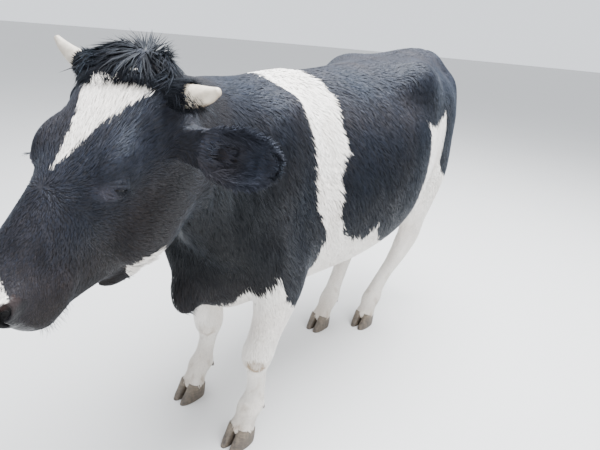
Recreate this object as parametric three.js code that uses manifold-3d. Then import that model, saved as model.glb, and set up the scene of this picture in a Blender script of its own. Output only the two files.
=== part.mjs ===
// A young black-and-white cow, standing, life size, parted with thin cuts into the pieces a person would name.
// Millimetres. +X is the animal's left side, it faces -Y, +Z is up, and the floor is z = 0.
// The flesh is one smooth form: lofted sections and ellipsoids, blended where they meet, then meshed
// piece by piece and cut with planes. Legs below the knee and hock, claws, tail, ears and horns are lofted directly.
import * as THREE from 'three';
import { mergeVertices } from 'three/addons/utils/BufferGeometryUtils.js';
import Module from 'manifold-3d';

// ---------------------------------------------------------------- driving sizes
const GAP = 0.4;                       // clear space left by every cut

// Trunk sections across Y: [y, side shift, top, bottom, widest height, half width, power above, power below]
const TRUNK = [
  [-738, 0, 920, 700, 810, 60, 2, 2],          // front of the brisket
  [-690, 0, 1000, 595, 800, 115, 2, 2],
  [-600, 0, 1110, 502, 780, 165, 1.9, 2],      // point of the shoulder
  [-470, 0, 1182, 476, 790, 200, 1.7, 2],
  [-340, 0, 1212, 484, 810, 228, 1.6, 2.1],    // withers
  [-180, 0, 1220, 492, 830, 265, 1.7, 2.2],
  [20, 0, 1238, 500, 850, 300, 1.9, 2.2],      // barrel
  [180, 0, 1253, 530, 860, 300, 2.2, 2.2],
  [320, 0, 1271, 580, 890, 268, 2.45, 2.2],     // hooks
  [460, 0, 1298, 640, 950, 218, 2.1, 2.1],
  [600, 0, 1302, 715, 1010, 175, 2, 2],        // croup
  [700, 0, 1270, 820, 1050, 135, 2, 2],
  [755, 0, 1165, 960, 1070, 80, 2, 2],         // pins
];
// Neck sections across Y; the neck bends to the animal's left
const NECK = [
  [-990, 225, 1240, 1030, 1130, 85, 2, 2],
  [-930, 200, 1238, 970, 1110, 102, 2, 2],
  [-840, 155, 1228, 885, 1070, 112, 2, 2],
  [-740, 105, 1214, 800, 1030, 128, 1.9, 2],
  [-620, 55, 1206, 720, 990, 150, 1.8, 2],
  [-480, 20, 1200, 680, 970, 158, 1.7, 2],
  [-340, 0, 1190, 680, 960, 130, 1.7, 2],
];
// Head frame: origin at the poll, then turned, tipped down and rolled
const POLL = [228.9, -964.1, 1253.8];
const HEAD_TURN = 8.02, HEAD_DOWN = 42.24, HEAD_ROLL = -11.93;   // degrees
// Head sections across its own length: [along, side, forehead side, jaw side, widest, half width, power, power]
const HEAD = [
  [-40, 0, -30, -100, -65, 50, 2, 2],
  [0, 0, 2, -168, -65, 88, 2.3, 2],            // poll
  [50, 0, 12, -232, -70, 104, 2.6, 2],
  [110, 0, 13, -278, -75, 101, 2.6, 2],        // forehead
  [170, 0, 8, -293, -80, 91, 2.5, 2.1],        // eyes
  [225, 0, 2, -289, -85, 78, 2.4, 2.5],
  [275, 0, -3, -272, -90, 67, 2.2, 2.8],
  [325, 0, -6, -248, -90, 61, 2.1, 2.8],       // bridge of the nose
  [375, 0, -9, -214, -90, 58, 2.1, 2.6],
  [420, 0, -14, -182, -92, 62, 2.2, 2.2],
  [452, 0, -31, -170, -96, 60, 2.2, 2.2],      // muzzle
  [475, 0, -55, -142, -98, 44, 2, 2],
];
// Limb girths by height, shared by left and right: [z, half width, forward reach, backward reach]
const FORE_GIRTH = [
  [55, 40, 36, 38], [95, 38, 35, 38], [130, 45, 43, 46], [165, 35, 34, 38], [225, 31, 31, 35], [285, 36, 34, 37],
  [320, 48, 48, 42], [355, 53, 55, 45], [410, 50, 55, 52], [490, 55, 62, 80], [580, 63, 84, 112], [680, 64, 110, 115],
  [800, 62, 120, 120], [900, 50, 100, 120],
];
const HIND_GIRTH = [
  [55, 40, 36, 38], [95, 38, 35, 38], [135, 45, 42, 46], [175, 37, 40, 43], [240, 34, 39, 40], [320, 37, 45, 42],
  [390, 43, 60, 52], [440, 48, 76, 62], [480, 47, 82, 64], [540, 50, 96, 66], [600, 62, 118, 88], [680, 79, 148, 126],
  [780, 96, 186, 175], [900, 100, 200, 198], [1020, 90, 180, 180],
];
// Joint centres of each limb, from the coronet up: [z, x, y]
const LIMBS = {
  foreleg_left: { girth: FORE_GIRTH, joints: [
    [55, 131, -560], [95, 132, -545], [130, 133, -525], [165, 136, -515], [335, 147, -519], [490, 169, -493],
    [630, 175, -484], [800, 160, -550], [900, 140, -580]] },
  foreleg_right: { girth: FORE_GIRTH, joints: [
    [55, -162, -535], [95, -162, -520], [130, -160, -500], [165, -155, -492], [335, -112, -502], [490, -133, -495],
    [630, -157, -490], [800, -160, -550], [900, -140, -580]] },
  hindleg_left: { girth: HIND_GIRTH, joints: [
    [55, 44, 372], [95, 45, 389], [135, 47, 409], [175, 51, 427], [390, 105, 524], [480, 120, 556],
    [600, 137, 524], [680, 144, 500], [780, 145, 490], [900, 132, 500], [1020, 110, 520]] },
  hindleg_right: { girth: HIND_GIRTH, joints: [
    [55, -98, 195], [95, -97, 220], [135, -97, 249], [175, -98, 272], [390, -118, 396], [480, -134, 425],
    [600, -142, 415], [680, -146, 420], [780, -145, 440], [900, -132, 480], [1020, -110, 520]] },
};
const KNEE_CUT = 335, HOCK_CUT = 430, CORONET_CUT = 60, CORONET_SLOPE = 0.30;
// One claw by height: [z, half width, reach forward, reach backward], two to a foot
const CLAW = [[0, 20.5, 76, 30], [14, 21, 68, 32], [34, 20.5, 54, 34], [56, 19.5, 41, 36], [90, 18, 30, 34]];
const CLAW_OFFSET = 22.5;
const EYE_RADIUS = 19, EYE_AT = [76, 212, -46];
// Horn: centre line in the head frame and radius
const HORN = {                                     // left (1) and right (-1), the right one slimmer
  1: [[98, 30, -14, 21], [130, 26, -8, 20], [158, 18, -1, 14.5], [179, 10, 8, 6]],
  [-1]: [[96, 30, -15, 18.5], [126, 26, -8, 16.5], [153, 19, 1, 11], [174, 10, 10, 5]],
};
// Ear: [along, half width, forward curl of the rim, setback of the middle], and its wall
const EAR = [
  [-55, 30, 12, -12], [0, 31, 24, -16], [30, 42, 28, -20], [65, 52, 24, -20], [95, 51, 16, -14],
  [125, 38, 7, -6], [148, 20, 0, 0], [160, 6, -3, -3],
];
const EAR_WALL = 13;
const EAR_STATIONS = [-55, -25, 5, 22, 38, 56, 76, 96, 114, 130, 144, 154, 160];
const EAR_LEFT = { root: [128, 60, -108], points: [0.93, 0.35, -0.09], opens: [0.30, -0.93, 0.10] };
const EAR_RIGHT = { root: [-108, 48, -118], points: [-0.42, 0.80, -0.36], opens: [-0.85, -0.30, 0.05] };
// Tail: [x, y, z, radius]; then the switch as [z, radius]
const TAIL = [[0, 775, 1155, 34], [0, 800, 1050, 29], [0, 808, 950, 24], [0, 806, 780, 21], [0, 800, 620, 18], [0, 798, 560, 17]];
const SWITCH = [[600, 18], [560, 27], [500, 34], [440, 36], [380, 30], [335, 18], [312, 7]];
const SWITCH_AT = [0, 797];
// Mesh cell for each piece of flesh
const CELL = { trunk: 72, neck: 45, head: 28, limb: 39 };

// ---------------------------------------------------------------- small vector tools
const V = (x, y, z) => new THREE.Vector3(x, y, z);
const rad = THREE.MathUtils.degToRad;
const turnX = a => new THREE.Matrix3().set(1, 0, 0, 0, Math.cos(a), -Math.sin(a), 0, Math.sin(a), Math.cos(a));
const headTurn = (() => {
  const m = new THREE.Matrix4().makeRotationZ(rad(HEAD_TURN));
  m.multiply(new THREE.Matrix4().makeRotationX(rad(HEAD_DOWN)));
  m.multiply(new THREE.Matrix4().makeRotationY(rad(-HEAD_ROLL)));
  return m;
})();
const HX = V(1, 0, 0).applyMatrix4(headTurn);      // the head's left
const HY = V(0, -1, 0).applyMatrix4(headTurn);     // along the face to the muzzle
const HZ = V(0, 0, 1).applyMatrix4(headTurn);      // out of the forehead
const inHead = (l, n, d) => V(...POLL).addScaledVector(HX, l).addScaledVector(HY, n).addScaledVector(HZ, d);
const AXES = [V(1, 0, 0), V(0, 1, 0), V(0, 0, 1)];
const HEAD_AXES = [HX, HY, HZ];

// ---------------------------------------------------------------- curves through station tables
function through(rows, n = 240) {        // cubic Hermite through rows keyed by their first column
  const k = rows.map(r => r[0]), c = rows.map(r => r.slice(1)), w = c[0].length, last = rows.length - 1;
  const slope = (i, j) => (c[i + 1][j] - c[i][j]) / (k[i + 1] - k[i]);
  const m = c.map((_, i) => Array.from({ length: w }, (_, j) => {
    if (i === 0) return slope(0, j);
    if (i === last) return slope(last - 1, j);
    const h0 = k[i] - k[i - 1], h1 = k[i + 1] - k[i];
    return (slope(i - 1, j) * h1 + slope(i, j) * h0) / (h0 + h1);
  }));
  const table = [];
  for (let q = 0; q < n; q++) {
    const t = k[0] + (k[last] - k[0]) * q / (n - 1);
    let i = 0; while (i < last - 1 && t >= k[i + 1]) i++;
    const h = k[i + 1] - k[i], s = (t - k[i]) / h;
    table.push(c[0].map((_, j) => (2 * s ** 3 - 3 * s ** 2 + 1) * c[i][j] + (s ** 3 - 2 * s ** 2 + s) * h * m[i][j]
      + (-2 * s ** 3 + 3 * s ** 2) * c[i + 1][j] + (s ** 3 - s ** 2) * h * m[i + 1][j]));
  }
  const from = k[0], to = k[last];
  const at = t => {
    const q = Math.min(Math.max((t - from) / (to - from), 0), 1) * (n - 1);
    const i = Math.min(Math.floor(q), n - 2), f = q - i;
    return table[i].map((v, j) => v + (table[i + 1][j] - v) * f);
  };
  return { from, to, at };
}

// ---------------------------------------------------------------- distance forms, each negative inside
const blendMin = (a, b, k) => { const h = Math.max(k - Math.abs(a - b), 0) / k; return Math.min(a, b) - h * h * h * k / 6; };
const blendMax = (a, b, k) => { const h = Math.max(k - Math.abs(a - b), 0) / k; return Math.max(a, b) + h * h * h * k / 6; };
function loft(origin, [U, T, W], rows, cap) {
  const curve = through(rows), mid = (curve.from + curve.to) / 2, half = (curve.to - curve.from) / 2;
  return p => {
    const q = p.clone().sub(origin), t = q.dot(T);
    const [side, top, bottom, middle, width, above, below] = curve.at(t);
    const u = q.dot(U) - side, v = q.dot(W) - middle;
    const h = v > 0 ? top - middle : middle - bottom, n = v > 0 ? above : below;
    const rho = Math.max((Math.abs(u / width) ** n + Math.abs(v / h) ** n) ** (1 / n), 1e-4);
    const r = Math.hypot(u, v);
    const d = r < 1e-3 ? -Math.min(width, h) : r * (1 - 1 / rho);
    return blendMax(d, Math.abs(t - mid) - half, cap);
  };
}
function ellipsoid(centre, [a, b, c], axes = AXES) {
  return p => {
    const q = p.clone().sub(centre), x = q.dot(axes[0]), y = q.dot(axes[1]), z = q.dot(axes[2]);
    const k0 = Math.hypot(x / a, y / b, z / c), k1 = Math.hypot(x / (a * a), y / (b * b), z / (c * c));
    return k1 < 1e-9 ? -Math.min(a, b, c) : k0 * (k0 - 1) / k1;
  };
}
function cone(a, b, ra, rb) {
  const ab = b.clone().sub(a), l2 = ab.lengthSq();
  return p => {
    const ap = p.clone().sub(a), h = Math.min(Math.max(ap.dot(ab) / l2, 0), 1);
    return ap.addScaledVector(ab, -h).length() - (ra + (rb - ra) * h);
  };
}
const tilted = deg => { const m = turnX(rad(deg)); return AXES.map(v => v.clone().applyMatrix3(m)); };

// A limb's sections: joint curve and girths together, keyed by height
function limbRows({ girth, joints }) {
  const line = through(joints);
  return girth.map(([z, w, f, b]) => { const [x, y] = line.at(z); return [z, x, y + b, y - f, y, w, 2.1, 2.1]; });
}
const limbForm = limb => loft(V(0, 0, 0), [AXES[0], AXES[2], AXES[1]], limbRows(limb), 30);

// ---------------------------------------------------------------- the whole flesh as one blended form
const form = [];
const add = (f, k) => form.push([f, k]);
add(loft(V(0, 0, 0), AXES, TRUNK, 40), 0);
add(loft(V(0, 0, 0), AXES, NECK, 40), 100);
for (const s of [1, -1]) {
  add(ellipsoid(V(s * 120, -490, 910), [78, 160, 250], tilted(-18)), 120);   // shoulder blade
  add(ellipsoid(V(s * 125, -645, 860), [80, 100, 120]), 110);                // point of the shoulder
  add(ellipsoid(V(s * 165, -425, 665), [52, 75, 80]), 90);                   // elbow
  add(ellipsoid(V(s * 160, 270, 1185), [50, 95, 60]), 160);                  // hook bone
  add(ellipsoid(V(s * 95, 685, 1115), [60, 80, 90]), 100);                   // pin bone
  add(ellipsoid(V(s * 125, 470, 1000), [105, 235, 200]), 100);               // rump and thigh
}
add(ellipsoid(V(150, 330, 720), [70, 120, 110], tilted(20)), 60);            // stifles
add(ellipsoid(V(-150, 280, 720), [70, 120, 110], tilted(20)), 60);
for (const name in LIMBS) add(limbForm(LIMBS[name]), 50);
add(cone(V(124, 612, 475), V(128, 585, 560), 20, 16), 20);                   // points of the hocks
add(cone(V(-138, 472, 472), V(-139, 440, 560), 20, 16), 20);
add(cone(V(0, 690, 1225), V(0, 775, 1155), 45, 34), 60);                     // root of the tail
add(cone(V(0, 775, 1155), V(0, 808, 950), 34, 24), 30);
add(ellipsoid(V(0, 360, 665), [75, 120, 50]), 50);                           // groin
add(ellipsoid(V(0, -665, 625), [45, 70, 120], tilted(-15)), 60);             // brisket
const headBump = (l, n, d, r, k) => add(ellipsoid(inHead(l, n, d), r, HEAD_AXES), k);
add(loft(V(...POLL), HEAD_AXES, HEAD, 20), 50);
headBump(0, 0, -5, [70, 40, 36], 50);                                        // poll
for (const s of [1, -1]) {
  headBump(s * 68, 180, -34, [26, 52, 36], 40);                              // brow over the eye
  headBump(s * 65, 185, -203, [43, 110, 94], 50);                            // cheek
  headBump(s * 38, 440, -55, [26, 34, 30], 30);                              // nostril wing
  headBump(s * 46, 400, -108, [28, 55, 42], 30);                             // upper lip
  headBump(s * 88, 30, -18, [30, 30, 28], 35);                               // root of the horn
}
headBump(0, 430, -150, [44, 45, 30], 25);                                    // chin
headBump(0, 236, -274, [52, 112, 60], 50);                                   // skin of the throat
function flesh(p) {
  let d = form[0][0](p);
  for (let i = 1; i < form.length; i++) d = blendMin(d, form[i][0](p), form[i][1]);
  return d;
}

// ---------------------------------------------------------------- meshing
// Surface nets of f inside a box, each vertex then drawn onto the surface.
function netOf(f, lo, hi, cell) {
  const n = [0, 1, 2].map(i => Math.ceil((hi[i] - lo[i]) / cell) + 1);
  const at = (i, j, k) => (i * n[1] + j) * n[2] + k;
  const val = new Float64Array(n[0] * n[1] * n[2]);
  for (let i = 0; i < n[0]; i++) for (let j = 0; j < n[1]; j++) for (let k = 0; k < n[2]; k++) {
    const edge = i === 0 || j === 0 || k === 0 || i === n[0] - 1 || j === n[1] - 1 || k === n[2] - 1;
    const d = f(V(lo[0] + i * cell, lo[1] + j * cell, lo[2] + k * cell));
    val[at(i, j, k)] = edge ? Math.max(d, 1) : (Math.abs(d) < 1e-6 ? 1e-6 : d);
  }
  const ids = new Map(), sums = [];
  const vertex = key => { let v = ids.get(key); if (v === undefined) { v = sums.length; ids.set(key, v); sums.push([0, 0, 0, 0]); } return v; };
  const quads = [], step = [[1, 0, 0], [0, 1, 0], [0, 0, 1]];
  for (let i = 0; i < n[0]; i++) for (let j = 0; j < n[1]; j++) for (let k = 0; k < n[2]; k++) for (let a = 0; a < 3; a++) {
    const o = [i, j, k], e = o.map((v, q) => v + step[a][q]);
    if (e[a] >= n[a]) continue;
    const v0 = val[at(...o)], v1 = val[at(...e)];
    if ((v0 < 0) === (v1 < 0)) continue;
    const b = (a + 1) % 3, c = (a + 2) % 3, t = v0 / (v0 - v1), quad = [];
    for (const [db, dc] of [[-1, -1], [0, -1], [0, 0], [-1, 0]]) {
      const q = o.slice(); q[b] += db; q[c] += dc;
      const id = vertex(at(...q)), s = sums[id];
      for (let m = 0; m < 3; m++) s[m] += lo[m] + (o[m] + step[a][m] * t) * cell;
      s[3]++; quad.push(id);
    }
    quads.push(v0 < 0 ? quad : quad.reverse());
  }
  const pos = sums.map(s => V(s[0] / s[3], s[1] / s[3], s[2] / s[3]));
  const e = 0.5, inner = p => p.toArray().every((v, m) => v > lo[m] + cell && v < lo[m] + (n[m] - 2) * cell);
  for (const p of pos) for (let pass = 0; pass < 2 && inner(p); pass++) {
    const d = f(p), g = V(...AXES.map(ax => (f(p.clone().addScaledVector(ax, e)) - f(p.clone().addScaledVector(ax, -e))) / (2 * e)));
    p.addScaledVector(g, -Math.sign(d) * Math.min(Math.abs(d) / Math.max(g.lengthSq(), 0.05), 0.5 * cell / Math.max(g.length(), 1e-6)));
  }
  const index = [];
  for (const [a, b, c, d] of quads) {
    if (pos[b].distanceTo(pos[d]) < pos[a].distanceTo(pos[c])) index.push(a, b, d, b, c, d);
    else index.push(a, b, c, a, c, d);
  }
  const g = new THREE.BufferGeometry();
  g.setAttribute('position', new THREE.Float32BufferAttribute(pos.flatMap(p => p.toArray()), 3));
  g.setIndex(index);
  return g;
}
// A closed skin over rings of points, with a fan at each end.
function ringsOf(rings) {
  const m = rings[0].length, pos = rings.flat().flatMap(p => p.toArray()), index = [];
  for (let r = 0; r + 1 < rings.length; r++) for (let i = 0; i < m; i++) {
    const a = r * m + i, b = r * m + (i + 1) % m;
    index.push(a, b, b + m, a, b + m, a + m);
  }
  const centre = ring => ring.reduce((s, p) => s.add(p), V(0, 0, 0)).divideScalar(m);
  const first = pos.length / 3; pos.push(...centre(rings[0]).toArray());
  const last = pos.length / 3; pos.push(...centre(rings[rings.length - 1]).toArray());
  for (let i = 0; i < m; i++) {
    index.push(first, (i + 1) % m, i);
    index.push(last, (rings.length - 1) * m + i, (rings.length - 1) * m + (i + 1) % m);
  }
  const g = new THREE.BufferGeometry();
  g.setAttribute('position', new THREE.Float32BufferAttribute(pos, 3));
  g.setIndex(index);
  return g;
}
// Rings of a height-keyed section table, counter-clockwise from above
function limbRings(rows, heights, sides) {
  const curve = through(rows);
  return heights.map(z => {
    const [x, back, front, y, w, n] = curve.at(z);
    return Array.from({ length: sides }, (_, i) => {
      const a = 2 * Math.PI * i / sides, c = Math.cos(a), s = Math.sin(a);
      const h = s > 0 ? back - y : y - front, r = (Math.abs(c) ** n + Math.abs(s) ** n) ** (-1 / n);
      return V(x + w * c * r, y + h * s * r, z);
    });
  });
}
const steps = (a, b, n) => Array.from({ length: n + 1 }, (_, i) => a + (b - a) * i / n);

// ---------------------------------------------------------------- solids
const wasm = await Module();
wasm.setup();
function solidOf(geometry) {
  const g = geometry.clone();
  for (const name of Object.keys(g.attributes)) if (name !== 'position') g.deleteAttribute(name);
  const merged = mergeVertices(g, 1e-3), tris = [];
  const ix = merged.index.array;
  for (let i = 0; i < ix.length; i += 3) if (ix[i] !== ix[i + 1] && ix[i + 1] !== ix[i + 2] && ix[i + 2] !== ix[i]) tris.push(ix[i], ix[i + 1], ix[i + 2]);
  return new wasm.Manifold(new wasm.Mesh({ numProp: 3, vertProperties: merged.attributes.position.array, triVerts: new Uint32Array(tris) }));
}
const BIG = 3000;
// The half space on the side of a plane that its normal points to, set back by some distance
function side([point, normal], back = 0) {
  const n = normal.clone().normalize(), g = new THREE.BoxGeometry(BIG, BIG, BIG);
  g.translate(0, 0, BIG / 2 + back);
  g.applyQuaternion(new THREE.Quaternion().setFromUnitVectors(V(0, 0, 1), n));
  g.translate(point.x, point.y, point.z);
  return solidOf(g);
}
const flip = ([p, n]) => [p, n.clone().negate()];
const keep = (solid, planes) => planes.reduce((s, pl) => s.intersect(side(pl, GAP / 2)), solid);
const region = planes => planes.slice(1).reduce((s, pl) => s.intersect(side(pl, -GAP / 2)), side(planes[0], -GAP / 2));
const largest = solid => solid.decompose().sort((a, b) => b.volume() - a.volume())[0];
function geometryOf(solid) {
  const m = solid.getMesh(), n = m.numProp, v = new Float32Array(m.numVert * 3);
  for (let i = 0; i < m.numVert; i++) for (let k = 0; k < 3; k++) v[3 * i + k] = m.vertProperties[n * i + k];
  const g = new THREE.BufferGeometry();
  g.setAttribute('position', new THREE.BufferAttribute(v, 3));
  g.setIndex([...m.triVerts]);
  return g;
}
// A cut leaves vertices almost on top of each other: edges shorter than this are closed up
const SHORTEST = 0.2;
function tidy(g) {
  const p = g.attributes.position, ix = g.index.array, parent = Array.from({ length: p.count }, (_, i) => i);
  const root = i => { while (parent[i] !== i) i = parent[i] = parent[parent[i]]; return i; };
  const at = i => V(p.getX(i), p.getY(i), p.getZ(i));
  for (let i = 0; i < ix.length; i += 3) for (let j = 0; j < 3; j++) {
    const a = ix[i + j], b = ix[i + (j + 1) % 3];
    if (at(a).distanceTo(at(b)) < SHORTEST) parent[root(b)] = root(a);
  }
  const faces = new Map();
  for (let i = 0; i < ix.length; i += 3) {
    const t = [root(ix[i]), root(ix[i + 1]), root(ix[i + 2])];
    if (t[0] === t[1] || t[1] === t[2] || t[2] === t[0]) continue;
    const key = [...t].sort((x, y) => x - y).join();
    if (faces.has(key)) faces.delete(key); else faces.set(key, t);        // two faces back to back vanish
  }
  const out = new THREE.BufferGeometry();
  out.setAttribute('position', new THREE.BufferAttribute(p.array.map(v => Math.round(v * 1000) / 1000), 3));
  out.setIndex([...faces.values()].flat());
  return out;
}
function meshOf(solid) {                 // one closed body, without slivers left by a cut
  const g = tidy(geometryOf(largest(solidOf(tidy(geometryOf(largest(solid)))))));
  g.computeVertexNormals();
  return g;
}

// The same closed surface moved outward by some distance, for the socket a piece stands in
function grown(geometry, by) {
  const p = geometry.attributes.position, ix = geometry.index.array, faces = Array.from({ length: p.count }, () => []);
  const at = i => V(p.getX(i), p.getY(i), p.getZ(i));
  for (let i = 0; i < ix.length; i += 3) {
    const [a, b, c] = [ix[i], ix[i + 1], ix[i + 2]], n = at(b).sub(at(a)).cross(at(c).sub(at(a)));
    if (n.length() < 1e-9) continue;
    n.normalize();
    for (const v of [a, b, c]) faces[v].push(n);
  }
  const out = [];
  for (let i = 0; i < p.count; i++) {
    const n = faces[i].reduce((s, f) => s.add(f), V(0, 0, 0)).normalize();
    const least = Math.max(0.35, Math.min(...faces[i].map(f => f.dot(n))));
    out.push(...at(i).addScaledVector(n, by / least).toArray());
  }
  const g = new THREE.BufferGeometry();
  g.setAttribute('position', new THREE.Float32BufferAttribute(out, 3));
  g.setIndex([...ix]);
  return g;
}

// ---------------------------------------------------------------- cuts between the pieces
const HEAD_PLANE = [inHead(0, -35, 0), HY.clone().multiplyScalar(0.88).addScaledVector(HZ, 0.47)];
const NECK_PLANE = [V(0, -500, 1200), V(0, -0.81, 0.587)];
const foreRegion = s => [[V(s * 120, 0, 540), V(s * 0.75, 0, -0.66)], [V(s * 5, 0, 0), V(s, 0, 0)], [V(0, -720, 0), V(0, 1, 0)], [V(0, -335, 0), V(0, -1, 0)]];
const hindRegion = s => [[V(0, 0, 600), V(0, 0, -1)], [V(s * 2, 0, 0), V(s, 0, 0)], [V(0, s > 0 ? 400 : 290, 0), V(0, 1, 0)], [V(0, 740, 0), V(0, -1, 0)]];
const TAIL_REGION = [[V(0, 766, 0), V(0, 1, 0)], [V(0, 0, 1125), V(0, 0, -1)], [V(-70, 0, 0), V(1, 0, 0)], [V(70, 0, 0), V(-1, 0, 0)]];

const BLACK = [0.045, 0.047, 0.055], WHITE = [0.80, 0.77, 0.71], HORN_COLOUR = [0.62, 0.55, 0.43], HOOF = [0.16, 0.13, 0.10];
const cow = new THREE.Group();
function piece(name, solid, colour, roughness) {
  const mesh = new THREE.Mesh(meshOf(solid), new THREE.MeshStandardMaterial({ color: new THREE.Color(...colour), roughness, metalness: 0 }));
  mesh.name = name;
  cow.add(mesh);
  return solid;
}

// trunk
let trunk = solidOf(netOf(flesh, [-370, -820, 400], [370, 880, 1360], CELL.trunk));
trunk = keep(trunk, [flip(NECK_PLANE)]);
for (const r of [foreRegion(1), foreRegion(-1), hindRegion(1), hindRegion(-1), TAIL_REGION]) trunk = trunk.subtract(region(r));
piece('trunk', trunk, BLACK, 0.7);

// horns
const horns = [1, -1].map(s => {
  const curve = new THREE.CatmullRomCurve3(HORN[s].map(([l, n, d]) => inHead(s * l, n, d)));
  const radius = through(HORN[s].map((h, i) => [i / (HORN[s].length - 1), h[3]]));
  const sides = 10, rings = steps(0, 1, 6).map(t => {
    const c = curve.getPoint(t), w = curve.getTangent(t), u = HZ.clone().cross(w).normalize(), v = w.clone().cross(u), r = radius.at(t)[0];
    return Array.from({ length: sides }, (_, i) => c.clone().addScaledVector(u, r * Math.cos(2 * Math.PI * i / sides)).addScaledVector(v, r * Math.sin(2 * Math.PI * i / sides)));
  });
  const end = curve.getPoint(1), w = curve.getTangent(1), tip = rings[rings.length - 1].map(p => p.clone().lerp(end, 0.45).addScaledVector(w, 4.5));
  return ringsOf([...rings, tip]);
});

// ears: a round root that opens into a cupped leaf with a wall
const ears = [EAR_LEFT, EAR_RIGHT].map(({ root, points, opens }) => {
  const o = inHead(...root), E = V(...points).normalize(), N = V(...opens);
  N.addScaledVector(E, -N.dot(E)).normalize();
  const W = N.clone().cross(E), curve = through(EAR, 120), across = 5;
  return ringsOf(EAR_STATIONS.map(a => {
    const [w, curl, back] = curve.at(a), wall = EAR_WALL * Math.min(1, 0.45 + w / 40);
    const open = THREE.MathUtils.smoothstep(a, 0, 50);
    const point = (x, face) => {
      const middle = back + (curl - back) * x * x, round = Math.sqrt(Math.max(1 - x * x, 0));
      const leaf = middle + face * wall / 2, stem = face * w * 0.95 * round - 3;
      return o.clone().addScaledVector(E, a).addScaledVector(W, w * x).addScaledVector(N, stem + (leaf - stem) * open);
    };
    const xs = steps(-0.88, 0.88, across);
    return [...xs.map(x => point(x, 1)), point(1, 0), ...xs.reverse().map(x => point(x, -1)), point(-1, 0)].reverse();
  }));
});

// neck
const neckBox = [[-160, -1100, 740], [380, -450, 1330]];
let neck = keep(solidOf(netOf(flesh, ...neckBox, CELL.neck)), [NECK_PLANE, flip(HEAD_PLANE)]);
for (const g of ears) neck = neck.subtract(solidOf(grown(g, GAP)));
piece('neck', neck, BLACK, 0.7);

// head, with sockets for the eyes, ears and horns
const headBox = [[30, -1340, 760], [440, -800, 1330]];
let head = keep(solidOf(netOf(flesh, ...headBox, CELL.head)), [HEAD_PLANE]);
const eyes = [1, -1].map(s => {
  const at = inHead(s * EYE_AT[0], EYE_AT[1], EYE_AT[2]), g = new THREE.SphereGeometry(EYE_RADIUS, 12, 8);
  g.translate(at.x, at.y, at.z);
  return mergeVertices(g.deleteAttribute('normal').deleteAttribute('uv'), 1e-3);
});
for (const g of [...eyes, ...horns, ...ears]) head = head.subtract(solidOf(grown(g, GAP)));
piece('head', head, BLACK, 0.7);
['left', 'right'].forEach((name, i) => {
  piece('eye_' + name, solidOf(eyes[i]), [0.02, 0.015, 0.012], 0.15);
  piece('horn_' + name, solidOf(horns[i]), HORN_COLOUR, 0.45);
  piece('ear_' + name, solidOf(ears[i]), BLACK, 0.75);
});

// legs
for (const name in LIMBS) {
  const limb = LIMBS[name], s = name.endsWith('left') ? 1 : -1, fore = name.startsWith('fore');
  const cut = fore ? KNEE_CUT : HOCK_CUT, rows = limbRows(limb);
  const [, cx, cy] = limb.joints[0];
  const level = [V(0, 0, cut), V(0, 0, 1)];
  const mid = through(limb.joints).at(500);
  const box = fore ? [[s > 0 ? 20 : -330, -760, 280], [s > 0 ? 330 : -20, -300, 720]]
    : [[s > 0 ? -40 : -300, mid[1] - 210, 380], [s > 0 ? 300 : 40, mid[1] + 230, 680]];
  const upper = solidOf(netOf(flesh, ...box, CELL.limb));
  piece(name + '_upper', keep(upper, [level, ...(fore ? foreRegion(s) : hindRegion(s))]), WHITE, 0.7);
  // below the knee or hock
  const heights = [...steps(57, 170, 5), ...steps(200, cut - 30, fore ? 3 : 5), cut + 10];
  const lower = solidOf(ringsOf(limbRings(rows, heights, 10)));
  const coronet = [V(cx, cy, CORONET_CUT), V(0, CORONET_SLOPE, 1)];
  piece(name + '_lower', keep(lower, [flip(level), coronet]), WHITE, 0.7);
  // two claws on flat soles
  for (const side_ of [1, -1]) {
    const clawRows = CLAW.map(([z, w, f, b]) => [z, cx + side_ * CLAW_OFFSET, cy + b, cy - f, cy - 8, w, 2.5, 2.5]);
    const claw = solidOf(ringsOf(limbRings(clawRows, [0, 14, 40, 88], 10)));
    piece(name + '_claw_' + (side_ * s > 0 ? 'outer' : 'inner'), keep(claw, [flip(coronet)]), HOOF, 0.5);
  }
}

// tail and its switch
{
  const along = through(TAIL.map(([x, y, z, r]) => [-z, x, y, r]));
  const rings = steps(-1150, -575, 7).map(t => {
    const [x, y, r] = along.at(t);
    return Array.from({ length: 10 }, (_, i) => V(x + r * Math.cos(2 * Math.PI * i / 10), y - r * Math.sin(2 * Math.PI * i / 10), -t));
  });
  piece('tail', keep(solidOf(ringsOf(rings)), TAIL_REGION), BLACK, 0.75);
  const brush = through(SWITCH.map(([z, r]) => [-z, r]));
  const brushRings = steps(-600, -312, 8).map(t => {
    const r = brush.at(t)[0];
    return Array.from({ length: 10 }, (_, i) => V(SWITCH_AT[0] + r * Math.cos(2 * Math.PI * i / 10), SWITCH_AT[1] - r * Math.sin(2 * Math.PI * i / 10), -t));
  });
  piece('tail_switch', keep(solidOf(ringsOf(brushRings)), [[V(0, 0, 574), V(0, 0, -1)]]), BLACK, 0.85);
}

// the frame's origin: the middle of the object's box, on the floor
const box = new THREE.Box3().setFromObject(cow);
cow.children.forEach(m => m.geometry.translate(-(box.min.x + box.max.x) / 2, -(box.min.y + box.max.y) / 2, 0));

export default cow;
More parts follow.
